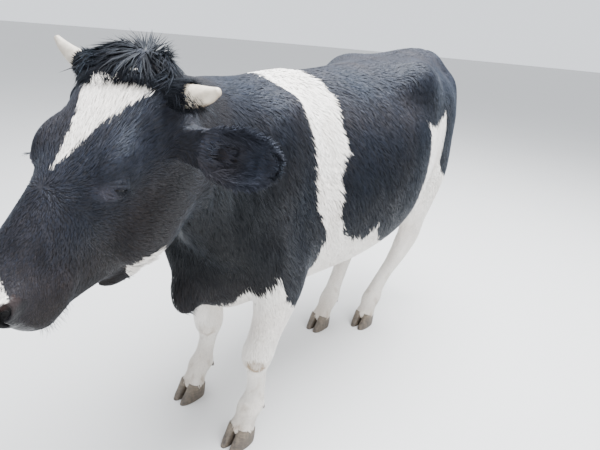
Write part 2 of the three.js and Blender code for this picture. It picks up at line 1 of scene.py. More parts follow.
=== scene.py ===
import bpy
import numpy as np
from mathutils import Matrix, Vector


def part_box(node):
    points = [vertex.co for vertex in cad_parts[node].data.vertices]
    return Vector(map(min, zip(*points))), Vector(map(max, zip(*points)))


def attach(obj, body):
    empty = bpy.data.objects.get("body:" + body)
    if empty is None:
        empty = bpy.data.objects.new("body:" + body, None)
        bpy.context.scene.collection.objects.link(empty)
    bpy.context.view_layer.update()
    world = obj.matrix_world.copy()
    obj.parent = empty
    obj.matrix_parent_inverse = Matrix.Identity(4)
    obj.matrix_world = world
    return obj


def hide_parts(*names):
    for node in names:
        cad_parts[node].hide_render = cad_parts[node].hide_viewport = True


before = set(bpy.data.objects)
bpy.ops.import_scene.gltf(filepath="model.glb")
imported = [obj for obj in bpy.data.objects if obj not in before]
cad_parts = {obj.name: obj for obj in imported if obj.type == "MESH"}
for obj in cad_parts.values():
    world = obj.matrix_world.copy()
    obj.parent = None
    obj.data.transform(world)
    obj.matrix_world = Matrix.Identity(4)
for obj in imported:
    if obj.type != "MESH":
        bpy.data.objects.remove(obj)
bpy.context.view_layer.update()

rng = np.random.default_rng(20)
lo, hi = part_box("foreleg_left_claw_outer")
SHIFT = np.array([(lo[0] + hi[0]) / 2 - 0.1535, (lo[1] + hi[1]) / 2 + 0.583, 0.0])


# ------------------------------------------------------------------ small tools
def sstep(x, a, b):
    t = np.clip((x - a) / (b - a), 0, 1)
    return t * t * (3 - 2 * t)


def unit(v):
    v = np.asarray(v, float)
    return v / np.maximum(np.linalg.norm(v, axis=-1, keepdims=True), 1e-9)


def smin(a, b, k):
    h = np.maximum(k - np.abs(a - b), 0) / k
    return np.minimum(a, b) - h * h * h * k / 6


def smax(a, b, k):
    h = np.maximum(k - np.abs(a - b), 0) / k
    return np.maximum(a, b) + h * h * h * k / 6


_wr = np.random.default_rng(7)
_WAVES = unit(_wr.normal(size=(24, 3))) * _wr.uniform(0.7, 1.5, (24, 1))
_PHASE = _wr.uniform(0, 6.28, 24)


def noise(P, size, seed=0):
    """Smooth noise, roughly -1 to 1, with features about size metres across."""
    k = (seed * 5) % 24
    idx = (np.arange(8) * 3 + k) % 24
    s = 0
    for i in idx:
        s = s + np.sin(P @ _WAVES[i] * (6.28 / size / 1.2) + _PHASE[i] + seed * 1.7 + 0.8 * np.sin(P @ _WAVES[(i + 5) % 24] * (3.3 / size) + seed))
    return s / 4.0


def table(rows, n=240):
    """A smooth curve through rows keyed by their first column, as (keys, values)."""
    a = np.array(rows, float)
    k, c = a[:, 0], a[:, 1:]
    t = np.linspace(k[0], k[-1], n)
    d = (c[1:] - c[:-1]) / (k[1:] - k[:-1])[:, None]
    m = np.zeros_like(c)
    m[0], m[-1] = d[0], d[-1]
    h = (k[1:] - k[:-1])[:, None]
    m[1:-1] = (d[:-1] * h[1:] + d[1:] * h[:-1]) / (h[:-1] + h[1:])
    i = np.clip(np.searchsorted(k, t, side="right") - 1, 0, len(k) - 2)
    hh = (k[i + 1] - k[i])[:, None]
    s = (t - k[i])[:, None] / hh
    out = (2 * s**3 - 3 * s**2 + 1) * c[i] + (s**3 - 2 * s**2 + s) * hh * m[i] + (-2 * s**3 + 3 * s**2) * c[i + 1] + (s**3 - s**2) * hh * m[i + 1]
    return t, out


def look(tab, x):
    t, v = tab
    return np.stack([np.interp(x, t, v[:, j]) for j in range(v.shape[1])], -1)


def polygon(Q, pts):
    """Signed distance from points Q to a closed outline, negative inside."""
    pts = np.array(pts, float)
    best = np.full(len(Q), 1e9)
    inside = np.zeros(len(Q), bool)
    for a, b in zip(pts, np.roll(pts, -1, axis=0)):
        e, w = b - a, Q - a
        t = np.clip(w @ e / (e @ e), 0, 1)
        best = np.minimum(best, np.hypot(*(w - t[:, None] * e).T))
        c1, c2 = Q[:, 1] >= a[1], Q[:, 1] < b[1]
        c3 = e[0] * w[:, 1] > e[1] * w[:, 0]
        inside ^= (c1 & c2 & c3) | (~c1 & ~c2 & ~c3)
    return np.where(inside, -best, best)


def rot_x(a):
    c, s = np.cos(a), np.sin(a)
    return np.array([[1, 0, 0], [0, c, -s], [0, s, c]])


def rot_y(a):
    c, s = np.cos(a), np.sin(a)
    return np.array([[c, 0, s], [0, 1, 0], [-s, 0, c]])


def rot_z(a):
    c, s = np.cos(a), np.sin(a)
    return np.array([[c, -s, 0], [s, c, 0], [0, 0, 1]])


# ------------------------------------------------------------------ the flesh, the same form the solids were cut from
MM = 0.001
POLL = np.array([0.2289, -0.9641, 1.2538])
HM = rot_z(np.radians(8.02)) @ rot_x(np.radians(42.24)) @ rot_y(np.radians(11.93)) @ np.array([[1, 0, 0], [0, -1, 0], [0, 0, 1]]).T
HL, HN, HD = HM[:, 0], HM[:, 1], HM[:, 2]     # the head's left, along the face to the muzzle, out of the forehead


def in_head(l, n, d):
    return POLL + HM @ (np.array([l, n, d]) * MM)


# y, side, top, bottom, widest, half width, power above, power below
TRUNK = [[-738, 0, 920, 700, 810, 60, 2, 2], [-690, 0, 1000, 595, 800, 115, 2, 2], [-600, 0, 1110, 502, 780, 165, 1.9, 2],
         [-470, 0, 1182, 476, 790, 200, 1.7, 2], [-340, 0, 1212, 484, 810, 228, 1.6, 2.1], [-180, 0, 1220, 492, 830, 265, 1.7, 2.2],
         [20, 0, 1238, 500, 850, 300, 1.9, 2.2], [180, 0, 1253, 530, 860, 300, 2.2, 2.2], [320, 0, 1271, 580, 890, 268, 2.45, 2.2],
         [460, 0, 1298, 640, 950, 218, 2.1, 2.1], [600, 0, 1302, 715, 1010, 175, 2, 2], [700, 0, 1270, 820, 1050, 135, 2, 2],
         [755, 0, 1165, 960, 1070, 80, 2, 2]]
NECK = [[-990, 225, 1240, 1030, 1130, 85, 2, 2], [-930, 200, 1238, 970, 1110, 102, 2, 2], [-840, 155, 1228, 885, 1070, 112, 2, 2],
        [-740, 105, 1214, 800, 1030, 128, 1.9, 2], [-620, 55, 1206, 720, 990, 150, 1.8, 2], [-480, 20, 1200, 680, 970, 158, 1.7, 2],
        [-340, 0, 1190, 680, 960, 130, 1.7, 2]]
HEAD = [[-40, 0, -30, -100, -65, 50, 2, 2], [0, 0, 2, -168, -65, 88, 2.3, 2], [50, 0, 12, -232, -70, 104, 2.6, 2],
        [110, 0, 13, -278, -75, 101, 2.6, 2], [170, 0, 8, -293, -80, 91, 2.5, 2.1], [225, 0, 2, -289, -85, 78, 2.4, 2.5],
        [275, 0, -3, -272, -90, 67, 2.2, 2.8], [325, 0, -6, -248, -90, 61, 2.1, 2.8], [375, 0, -9, -214, -90, 58, 2.1, 2.6],
        [420, 0, -14, -182, -92, 62, 2.2, 2.2], [452, 0, -31, -170, -96, 60, 2.2, 2.2], [475, 0, -55, -142, -98, 44, 2, 2]]
# z, half width, forward, backward
FORE_GIRTH = [[55, 40, 36, 38], [95, 38, 35, 38], [130, 45, 43, 46], [165, 35, 34, 38], [225, 31, 31, 35], [285, 36, 34, 37],
              [320, 48, 48, 42], [355, 53, 55, 45], [410, 50, 55, 52], [490, 55, 62, 80], [580, 63, 84, 112], [680, 64, 110, 115],
              [800, 62, 120, 120], [900, 50, 100, 120]]
HIND_GIRTH = [[55, 40, 36, 38], [95, 38, 35, 38], [135, 45, 42, 46], [175, 37, 40, 43], [240, 34, 39, 40], [320, 37, 45, 42],
              [390, 43, 60, 52], [440, 48, 76, 62], [480, 47, 82, 64], [540, 50, 96, 66], [600, 62, 118, 88], [680, 79, 148, 126],
              [780, 96, 186, 175], [900, 100, 200, 198], [1020, 90, 180, 180]]
LIMBS = {
    "foreleg_left": (FORE_GIRTH, [[55, 131, -560], [95, 132, -545], [130, 133, -525], [165, 136, -515], [335, 147, -519],
                                  [490, 169, -493], [630, 175, -484], [800, 160, -550], [900, 140, -580]]),
    "foreleg_right": (FORE_GIRTH, [[55, -162, -535], [95, -162, -520], [130, -160, -500], [165, -155, -492], [335, -112, -502],
                                   [490, -133, -495], [630, -157, -490], [800, -160, -550], [900, -140, -580]]),
    "hindleg_left": (HIND_GIRTH, [[55, 44, 372], [95, 45, 389], [135, 47, 409], [175, 51, 427], [390, 105, 524], [480, 120, 556],
                                  [600, 137, 524], [680, 144, 500], [780, 145, 490], [900, 132, 500], [1020, 110, 520]]),
    "hindleg_right": (HIND_GIRTH, [[55, -98, 195], [95, -97, 220], [135, -97, 249], [175, -98, 272], [390, -118, 396],
                                   [480, -134, 425], [600, -142, 415], [680, -146, 420], [780, -145, 440], [900, -132, 480],
                                   [1020, -110, 520]]),
}
LIMB_LINE = {k: table(v[1]) for k, v in LIMBS.items()}
XYZ = np.eye(3)


def limb_rows(name):
    girth, _ = LIMBS[name]
    rows = []
    for z, w, f, b in [[22, 27, 24, 22], [40, 35, 32, 32]] + girth:
        x, y = look(LIMB_LINE[name], z)
        rows.append([z, x, y + b, y - f, y, w, 2.1, 2.1])       # the line of the leg runs straight on below the coronet
    return rows


class Loft:
    def __init__(self, origin, axes, rows, cap):
        rows = np.array(rows, float)
        rows[:, :6] *= MM
        self.o, self.A, self.cap = np.array(origin, float), np.array(axes, float), cap
        self.tab = table(rows)
        t, v = self.tab
        pts = []
        for du, dv in ((1, 1), (1, 2), (-1, 1), (-1, 2)):
            pts.append(self.o + (v[:, :1] + du * v[:, 4:5]) * self.A[0] + t[:, None] * self.A[1] + v[:, dv:dv + 1] * self.A[2])
        pts = np.concatenate(pts)
        self.lo, self.hi = pts.min(0), pts.max(0)

    def __call__(self, P):
        q = (P - self.o) @ self.A.T
        t, v = self.tab
        tc = np.clip(q[:, 1], t[0], t[-1])
        side, top, bottom, mid, W, nT, nB = look(self.tab, tc).T
        u, z = q[:, 0] - side, q[:, 2] - mid
        up = z > 0
        h, n = np.where(up, top - mid, mid - bottom), np.where(up, nT, nB)
        rho = np.maximum((np.abs(u / W) ** n + np.abs(z / h) ** n) ** (1 / n), 1e-4)
        r = np.hypot(u, z)
        d = np.where(r < 1e-6, -np.minimum(W, h), r * (1 - 1 / rho))
        return smax(d, np.abs(q[:, 1] - (t[-1] + t[0]) / 2) - (t[-1] - t[0]) / 2, self.cap)


class Ball:
    def __init__(self, centre, radii, axes=None):
        self.c, self.r = np.array(centre, float), np.array(radii, float)
        self.M = np.eye(3) if axes is None else np.array(axes, float)
        self.lo, self.hi = self.c - self.r.max(), self.c + self.r.max()

    def __call__(self, P):
        q = (P - self.c) @ self.M
        k0, k1 = np.linalg.norm(q / self.r, axis=1), np.linalg.norm(q / self.r**2, axis=1)
        return np.where(k1 < 1e-9, -self.r.min(), k0 * (k0 - 1) / np.maximum(k1, 1e-9))


class Cone:
    def __init__(self, a, b, ra, rb):
        self.a, self.b, self.ra, self.rb = np.array(a, float), np.array(b, float), ra, rb
        r = max(ra, rb)
        self.lo, self.hi = np.minimum(self.a, self.b) - r, np.maximum(self.a, self.b) + r

    def __call__(self, P):
        ba, pa = self.b - self.a, P - self.a
        h = np.clip(pa @ ba / (ba @ ba), 0, 1)
        return np.linalg.norm(pa - h[:, None] * ba, axis=1) - (self.ra + (self.rb - self.ra) * h)


FORM = []


def add(f, k):
    FORM.append((f, k, f.lo - k - 0.07, f.hi + k + 0.07))


add(Loft((0, 0, 0), XYZ, TRUNK, 0.04), 0)
add(Loft((0, 0, 0), XYZ, NECK, 0.04), 0.10)
for s in (1, -1):
    add(Ball((s * 0.120, -0.49, 0.91), (0.078, 0.16, 0.25), rot_x(np.radians(-18))), 0.12)
    add(Ball((s * 0.125, -0.645, 0.86), (0.080, 0.10, 0.12)), 0.11)
    add(Ball((s * 0.165, -0.425, 0.665), (0.052, 0.075, 0.080)), 0.09)
    add(Ball((s * 0.160, 0.27, 1.185), (0.050, 0.095, 0.060)), 0.16)
    add(Ball((s * 0.095, 0.685, 1.115), (0.060, 0.080, 0.09)), 0.10)
    add(Ball((s * 0.125, 0.47, 1.00), (0.105, 0.235, 0.20)), 0.10)
add(Ball((0.150, 0.33, 0.72), (0.070, 0.12, 0.11), rot_x(np.radians(20))), 0.06)
add(Ball((-0.150, 0.28, 0.72), (0.070, 0.12, 0.11), rot_x(np.radians(20))), 0.06)
for name in LIMBS:
    add(Loft((0, 0, 0), XYZ[[0, 2, 1]], limb_rows(name), 0.03), 0.05)
add(Cone((0.124, 0.612, 0.475), (0.128, 0.585, 0.56), 0.020, 0.016), 0.02)
add(Cone((-0.138, 0.472, 0.472), (-0.139, 0.44, 0.56), 0.020, 0.016), 0.02)
add(Cone((0, 0.69, 1.225), (0, 0.775, 1.155), 0.045, 0.034), 0.06)
add(Cone((0, 0.775, 1.155), (0, 0.808, 0.95), 0.034, 0.024), 0.03)
add(Cone((0, 0.808, 0.95), (0, 0.80, 0.62), 0.024, 0.018), 0.02)
add(Cone((0, 0.80, 0.62), (0, 0.798, 0.50), 0.017, 0.014), 0.02)
add(Ball((0, 0.36, 0.665), (0.075, 0.12, 0.05)), 0.05)
add(Ball((0, -0.665, 0.625), (0.045, 0.07, 0.12), rot_x(np.radians(-15))), 0.06)
for s in (1, -1):                                  # small teats
    for y in (0.315, 0.385):
        add(Cone((s * 0.030, y, 0.640), (s * 0.034, y + 0.004, 0.596), 0.012, 0.007), 0.02)
add(Loft(POLL, HM.T, HEAD, 0.02), 0.05)


def bump(l, n, d, r, k):
    add(Ball(in_head(l, n, d), np.array(r) * MM, HM), k * MM)


bump(0, 0, -5, (70, 40, 36), 50)
for s in (1, -1):
    bump(s * 68, 180, -34, (26, 52, 36), 40)
    bump(s * 65, 185, -203, (43, 110, 94), 50)
    bump(s * 38, 440, -55, (26, 34, 30), 30)
    bump(s * 46, 400, -108, (28, 55, 42), 30)
    bump(s * 88, 30, -18, (30, 30, 28), 35)
bump(0, 430, -150, (44, 45, 30), 25)
bump(0, 236, -274, (52, 112, 60), 50)


def flesh(P):
    out = np.full(len(P), 0.4)
    for f, k, a, b in FORM:
        m = np.all((P > a) & (P < b), axis=1)
        if not m.any():
            continue
        d = f(P[m])
        out[m] = smin(out[m], d, k) if k else np.minimum(out[m], d)
    return out


# ears: along, half width, forward curl of the rim, setback of the middle
EAR = table([[-0.030, 0.020, 0.012, -0.012], [0.000, 0.030, 0.024, -0.016], [0.030, 0.042, 0.028, -0.020], [0.065, 0.052, 0.024, -0.020],
             [0.095, 0.051, 0.016, -0.014], [0.125, 0.038, 0.007, -0.006], [0.148, 0.020, 0, 0], [0.160, 0.006, -0.003, -0.003]], 120)
EARS = []
for root, along, opens in (((128, 60, -108), (0.93, 0.35, -0.09), (0.30, -0.93, 0.10)), ((-108, 48, -118), (-0.42, 0.80, -0.36), (-0.85, -0.30, 0.05))):
    E = unit(np.array(along))
    N = unit(np.array(opens) - E * (np.array(opens) @ E))
    EARS.append((in_head(*root), E, np.cross(N, E), N))


def ear_coords(P, i):
    o, E, W, N = EARS[i]
    q = P - o
    a, b, n = q @ E, q @ W, q @ N
    w, curl, back = look(EAR, np.clip(a, -0.03, 0.16)).T
    x = b / w
    mid = back + (curl - back) * np.minimum(x * x, 1.6)
    mid = mid + 0.0030 * np.cos(9.5 * x) * np.exp(-(((a - 0.035) / 0.035) ** 2)) * (np.abs(x) < 1)
    return a, b, n, w, x, mid, 2 * (curl - back) * np.abs(x) / w


def ear(P, i, wall=0.0065):
    o, E, W, N = EARS[i]
    a, b, n, w, x, mid, slope = ear_coords(P, i)
    d = np.abs(n - mid) / np.sqrt(1 + np.minimum(slope, 3) ** 2) - wall / 2
    edge = smax(np.abs(b) - w + 0.004, np.abs(a - 0.0625) - 0.0925, 0.01)
    d = smax(d, edge, 0.006)
    tube = Cone(o - E * 0.045, o + E * 0.034, 0.036, 0.030)(P)
    hollow = Cone(o + E * 0.040 + N * 0.006, o + E * 0.074 + N * 0.034, 0.013, 0.026)(P)
    return smin(d, smax(tube, -hollow, 0.01), 0.02)


EYE_AT = [in_head(s * 76, 212, -46) for s in (1, -1)]
EYE_R = 0.0183
SLIT = np.radians(54)                              # the lids' line lies level while the head hangs


def eye_coords(P, i):
    q = (P - EYE_AT[i]) @ HM
    l = q[:, 0] * (1 if i == 0 else -1)
    return l, q[:, 1] * np.cos(SLIT) + q[:, 2] * np.sin(SLIT), -q[:, 1] * np.sin(SLIT) + q[:, 2] * np.cos(SLIT)


# shallow hollows (+) and swellings (-) of the skin: centre, radii, depth
DENTS = [((s * 0.235, 0.10, 1.13), (0.07, 0.09, 0.05), 0.010) for s in (1, -1)]            # hollow of the flank
DENTS += [((s * 0.10, 0.60, 1.23), (0.05, 0.07, 0.05), 0.010) for s in (1, -1)]            # beside the tail head
DENTS += [((s * 0.21, -0.30, 0.90), (0.06, 0.035, 0.20), 0.006) for s in (1, -1)]          # behind the shoulder
DENTS += [((s * 0.19, -0.47, 0.72), (0.06, 0.030, 0.09), 0.007) for s in (1, -1)]          # above the elbow
DENTS += [((s * 0.18, 0.20, 0.66), (0.06, 0.030, 0.07), 0.007) for s in (1, -1)]           # before the stifle
DENTS += [((s * 0.16, -0.60, 1.00), (0.06, 0.030, 0.12), 0.006) for s in (1, -1)]          # before the shoulder blade
DENTS += [(in_head(s * 62, 262, -55), (0.020, 0.030, 0.022), 0.005) for s in (1, -1)]      # below the eye
DENTS += [(in_head(s * 80, 120, -40), (0.024, 0.030, 0.020), 0.006) for s in (1, -1)]      # temple
DENTS += [(in_head(0, 400, -8), (0.016, 0.050, 0.02), 0.003)]
DENTS += [(in_head(0, 478, -110), (0.006, 0.02, 0.03), 0.004)]                             # cleft of the upper lip
NECK_FOLDS = [(-0.87, 0.0035), (-0.80, 0.0025), (-0.73, 0.003), (-0.665, 0.002)]
MOUTH = table([[0.355, -0.136, 0.5], [0.380, -0.141, 1], [0.420, -0.139, 1], [0.452, -0.132, 1], [0.485, -0.124, 1]], 40)


def head_coords(P):
    return (P - POLL) @ HM


def near_head(P):
    h = head_coords(P)
    dist = np.sqrt(h[:, 0] ** 2 + (h[:, 1] - np.clip(h[:, 1], 0, 0.46)) ** 2 + (h[:, 2] + 0.09) ** 2)
    return h, 1 - sstep(dist, 0.17, 0.235)


def coat_depth(P):
    h, head = near_head(P)
    l, n, d = h.T
    z = P[:, 2]
    depth = 0.0055 + 0.004 * np.exp(-(((P[:, 1] + 0.66) / 0.12) ** 2 + ((z - 0.60) / 0.12) ** 2))
    depth = depth + (0.0035 - depth) * (1 - sstep(z, 0.32, 0.52))
    tail = sstep(P[:, 1], 0.765, 0.785) * (1 - sstep(np.abs(P[:, 0]), 0.05, 0.07)) * (1 - sstep(z, 1.10, 1.17))
    depth = depth + (0.008 - depth) * tail
    face = 0.0040 + 0.003 * np.exp(-(((n - 0.10) / 0.07) ** 2)) * sstep(d, -0.07, -0.02)
    face = face + (0.0014 - face) * sstep(n, 0.36, 0.43)
    depth = depth + (face - depth) * head
    depth = depth + 0.014 * np.exp(-((l / 0.085) ** 2 + ((n + 0.006) / 0.042) ** 2 + ((d - 0.005) / 0.07) ** 2))
    return depth


def skin(P):
    h, head = near_head(P)
    l, n, d = h.T
    out = flesh(P) + coat_depth(P)
    for c, r, amount in DENTS:
        q = (P - np.array(c)) / np.array(r)
        e = (q * q).sum(1)
        m = e < 6
        out[m] += amount * np.exp(-e[m])
    # folds across the neck, deepest below
    m = (P[:, 1] < -0.60) & (P[:, 1] > -0.95) & (head < 0.9) & (P[:, 2] > 0.66)
    if m.any():
        y = P[m, 1] + 0.28 * (P[m, 2] - 1.0) + 0.012 * noise(P[m], 0.22, 3)
        for at, amount in NECK_FOLDS:
            out[m] += amount * np.exp(-(((y - at) / 0.011) ** 2)) * (1 - head[m]) * sstep(1.16 - P[m, 2], 0, 0.15)
    # sinews of the lower legs
    for name in LIMBS:
        x, y = look(LIMB_LINE[name], P[:, 2] / MM).T * MM
        u, v = P[:, 0] - x, P[:, 1] - y
        m = (P[:, 2] < 0.34) & (P[:, 2] > 0.14) & (np.hypot(u, v) < 0.06)
        if m.any():
            win = sstep(P[m, 2], 0.15, 0.19) * (1 - sstep(P[m, 2], 0.27, 0.32))
            out[m] += 0.0035 * win * np.exp(-(((v[m] - 0.009) / 0.006) ** 2))
    for i in (0, 1):
        m = np.linalg.norm(P - EARS[i][0], axis=1) < 0.26
        if m.any():
            out[m] = smin(out[m], ear(P[m], i), 0.02)
    m = (head > 0.5) & (n > 0.10) & (d > -0.2)
    if m.any():
        Q, o = P[m], out[m]
        hl, hn, hd = np.abs(l[m]), n[m], d[m]
        for i in (0, 1):
            ll, a, b = eye_coords(Q, i)
            r = np.sqrt(ll**2 + a**2 + b**2)
            lids = r - 0.0222 + 0.25 * np.maximum(np.abs(a) - 0.014, 0)
            o = np.where(r < 0.09, smin(o, lids, 0.018), o)
            # creases over and under the eye
            for off, deep, wide in ((0.0105, 0.0018, 0.0018), (0.0180, 0.0022, 0.0026), (0.0262, 0.0015, 0.0034), (-0.0120, 0.0016, 0.0018), (-0.0195, 0.0018, 0.0028)):
                line = b - off * (1 - (a / 0.030) ** 2 * 0.75)
                o = o + deep * np.exp(-((line / wide) ** 2)) * (1 - sstep(np.abs(a), 0.016, 0.030)) * (ll > 0) * (r < 0.05)
            half = 0.0036 * np.maximum(1 - (a / 0.0165) ** 2, 0) + 0.0002
            slot = np.maximum(np.abs(b + 0.0016 - 0.0026 * (a / 0.016) ** 2) - half, -(r - 0.0184))
            slot = np.maximum(slot, -ll)
            slot = np.where((np.abs(a) < 0.0165) & (r < 0.04), slot, 1.0)
            o = smax(o, -slot, 0.0016)
            o = np.maximum(o, -(np.where(ll > -0.004, r - 0.0186, 1.0)))
        # nostrils: a rim, and a comma-shaped opening that runs up and back
        c1 = np.sqrt(((hl - 0.043) / 0.0120) ** 2 + ((hn - 0.463) / 0.0165) ** 2 + ((hd + 0.057) / 0.0150) ** 2)
        c2 = np.sqrt(((hl - 0.054) / 0.0075) ** 2 + ((hn - 0.454) / 0.0135) ** 2 + ((hd + 0.039) / 0.0120) ** 2)
        o = o - 0.0035 * np.exp(-(((np.minimum(c1, c2) - 1.35) / 0.35) ** 2))
        o = smax(o, -(c1 - 1) * 0.012, 0.005)
        o = smax(o, -(c2 - 1) * 0.008, 0.004)
        # mouth
        md, mk = look(MOUTH, np.clip(hn, 0.355, 0.485)).T
        o = o + 0.0055 * mk * np.exp(-(((hd - md) / 0.0026) ** 2)) * sstep(hn, 0.350, 0.372)
        out[m] = o
    return out


# ------------------------------------------------------------------ meshing a distance form at several cell sizes
def contour(f, lo, hi, h0, refine, levels, passes=2, chunk=300000):
    lo, hi = np.array(lo, float), np.array(hi, float)
    n0 = np.ceil((hi - lo) / h0).astype(int)
    F = 1 << levels
    hf = h0 / F

    def ev(P):
        out = np.empty(len(P))
        for i in range(0, len(P), chunk):
            out[i:i + chunk] = f(P[i:i + chunk])
        return out

    g = np.stack(np.meshgrid(*[np.arange(k) for k in n0], indexing="ij"), -1).reshape(-1, 3) * F
    leaves = []
    for lev in range(levels + 1):
        sz = F >> lev
        h = hf * sz
        c = lo + (g + sz / 2) * hf
        at_eye = np.minimum(np.linalg.norm(c - EYE_AT[0], axis=1), np.linalg.norm(c - EYE_AT[1], axis=1)) < 0.024 + h
        near = (np.abs(ev(c)) < h * 2.2) | at_eye
        g, c = g[near], c[near]
        sub = refine(c, h) if lev < levels else np.zeros(len(g), bool)
        leaves.append(g[~sub])
        off = np.array([[i, j, k] for i in (0, 1) for j in (0, 1) for k in (0, 1)]) * (sz // 2)
        g = (g[sub][:, None, :] + off[None]).reshape(-1, 3)
    B = 1 << 20

    def key(a):
        a = a + 1000
        return (a[..., 0].astype(np.int64) * B + a[..., 1]) * B + a[..., 2]

    lk, lid, base, G, SZ = [], [], 0, [], []
    for lev, L in enumerate(leaves):
        k = key(L)
        o = np.argsort(k)
        lk.append(k[o])
        lid.append(base + o)
        base += len(L)
        G.append(L)
        SZ.append(np.full(len(L), F >> lev))
    G, SZ = np.concatenate(G), np.concatenate(SZ)

    def find(p):
        res = np.full(len(p), -1)
        for lev in range(levels, -1, -1):
            if not len(lk[lev]):
                continue
            sz = F >> lev
            kk = key((np.floor(p / sz) * sz).astype(np.int64))
            i = np.minimum(np.searchsorted(lk[lev], kk), len(lk[lev]) - 1)
            ok = (lk[lev][i] == kk) & (res < 0)
            res[ok] = lid[lev][i[ok]]
        return res

    E = []
    for ax in range(3):
        b, c = [(1, 2), (2, 0), (0, 1)][ax]
        starts = []
        for i in (0, 1):
            for j in (0, 1):
                s = G.copy()
                s[:, b] += i * SZ
                s[:, c] += j * SZ
                starts.append(np.c_[s, SZ])
        E.append(np.unique(np.concatenate(starts), axis=0))
    eye3 = np.eye(3, dtype=int)
    corners = np.unique(np.concatenate([np.concatenate([key(e[:, :3]), key(e[:, :3] + eye3[a] * e[:, 3:4])]) for a, e in enumerate(E)]))
    cp = np.stack([corners // B // B - 1000, (corners // B) % B - 1000, corners % B - 1000], 1)
    cv = ev(lo + cp * hf)

    def val(a):
        return cv[np.searchsorted(corners, key(a))]

    acc, cnt, polys = np.zeros((len(G), 3)), np.zeros(len(G)), []
    for ax, e in enumerate(E):
        a0, sz = e[:, :3], e[:, 3]
        a1 = a0 + eye3[ax] * sz[:, None]
        v0, v1 = val(a0), val(a1)
        ch = (v0 < 0) != (v1 < 0)
        a0, a1, v0, v1, sz = a0[ch], a1[ch], v0[ch], v1[ch], sz[ch]
        mid = (a0 + a1) / 2.0
        b, c = [(1, 2), (2, 0), (0, 1)][ax]
        ids, ok = [], np.ones(len(mid), bool)
        for i, j in ((-1, -1), (1, -1), (1, 1), (-1, 1)):
            p = mid.copy()
            p[:, b] += i * 0.25
            p[:, c] += j * 0.25
            q = find(p)
            ids.append(q)
            ok &= (q >= 0) & np.where(q >= 0, SZ[q] >= sz, False)
        ids = np.stack(ids, 1)[ok]
        v0, v1, a0, a1 = v0[ok], v1[ok], a0[ok], a1[ok]
        x = lo + (a0 + (a1 - a0) * (v0 / (v0 - v1))[:, None]) * hf
        for j in range(4):
            np.add.at(acc, ids[:, j], x)
            np.add.at(cnt, ids[:, j], 1)
        polys.append(np.where((v0 < 0)[:, None], ids, ids[:, ::-1]))
    Q = np.concatenate(polys)
    used = np.unique(Q)
    remap = np.full(len(G), -1)
    remap[used] = np.arange(len(used))
    V, Q, size = acc[used] / cnt[used][:, None], remap[Q], SZ[used] * hf
    for _ in range(passes):
        eps = hf * 0.5
        d = ev(V)
        g = np.stack([ev(V + XYZ[i] * eps) - ev(V - XYZ[i] * eps) for i in range(3)], 1) / (2 * eps)
        st = -d[:, None] * g / np.maximum((g * g).sum(1), 0.05)[:, None]
        L = np.linalg.norm(st, axis=1)
        V = V + st * np.minimum(1, 0.5 * size / np.maximum(L, 1e-12))[:, None]
    d02, d13 = np.linalg.norm(V[Q[:, 0]] - V[Q[:, 2]], axis=1), np.linalg.norm(V[Q[:, 1]] - V[Q[:, 3]], axis=1)
    dup = (Q[:, 0] == Q[:, 1]) | (Q[:, 1] == Q[:, 2]) | (Q[:, 2] == Q[:, 3]) | (Q[:, 3] == Q[:, 0])
    alt = ((d13 < d02) & ~dup)[:, None]
    T = np.concatenate([np.where(alt, Q[:, [0, 1, 3]], Q[:, [0, 1, 2]]), np.where(alt, Q[:, [1, 2, 3]], Q[:, [0, 2, 3]])])
    bad = (T[:, 0] == T[:, 1]) | (T[:, 1] == T[:, 2]) | (T[:, 2] == T[:, 0])
    return V, T[~bad]


def detail(c, h):
    """True where a cell of size h is still too coarse."""
    hd, head = near_head(c)
    l, n, d = hd.T
    want = np.full(len(c), 0.0125)
    want[(c[:, 2] < 0.47)] = 0.0065
    want[(head > 0.3)] = 0.0065
    want[(c[:, 1] > 0.765) & (c[:, 2] < 1.1)] = 0.0065
    want[(np.abs(c[:, 0]) < 0.06) & (c[:, 1] > 0.28) & (c[:, 1] < 0.43) & (c[:, 2] < 0.66)] = 0.0065
    want[(head > 0.3) & (n > 0.385)] = 0.0033
    for i in (0, 1):
        a = (c - EARS[i][0]) @ EARS[i][1]
        rad = np.linalg.norm(c - EARS[i][0] - EARS[i][1] * np.clip(a, 0, 0.15)[:, None], axis=1)
        want[(a > 0.0) & (a < 0.18) & (rad < 0.075)] = 0.0033
        r = np.linalg.norm(c - EYE_AT[i], axis=1)
        want[r < 0.045] = 0.0033
        want[r < 0.027] = 0.0017
    near_nose = (np.hypot(np.abs(l) - 0.048, d + 0.048) < 0.030) & (n > 0.43) & (n < 0.5)
    want[near_nose] = 0.0017
    md = look(MOUTH, np.clip(n, 0.355, 0.485))[:, 0]
    want[(np.abs(d - md) < 0.010) & (n > 0.345) & (n < 0.49) & (np.abs(l) < 0.08)] = 0.0017
    return want < h * 0.9


box_lo, box_hi = np.array([-0.36, -1.34, -0.01]), np.array([0.52, 0.88, 1.34])
SV, ST = contour(skin, box_lo, box_hi, 0.026, detail, 4)


def keep_largest(V, T):
    parent = np.arange(len(V))
    while True:
        m = parent[T].min(1)
        new = parent.copy()
        for j in range(3):
            np.minimum.at(new, T[:, j], m)
            np.minimum.at(new, parent[T[:, j]], m)
        new = new[new]
        if (new == parent).all():
            break
        parent = new
    lab, cnt = np.unique(parent[T[:, 0]], return_counts=True)
    T = T[parent[T[:, 0]] == lab[cnt.argmax()]]
    used, inv = np.unique(T, return_inverse=True)
    return V[used], inv.reshape(-1, 3)


SV, ST = keep_largest(SV, ST)
fn = np.cross(SV[ST[:, 1]] - SV[ST[:, 0]], SV[ST[:, 2]] - SV[ST[:, 0]])
SN = np.zeros_like(SV)
for j in range(3):
    np.add.at(SN, ST[:, j], fn)
SN = unit(SN)


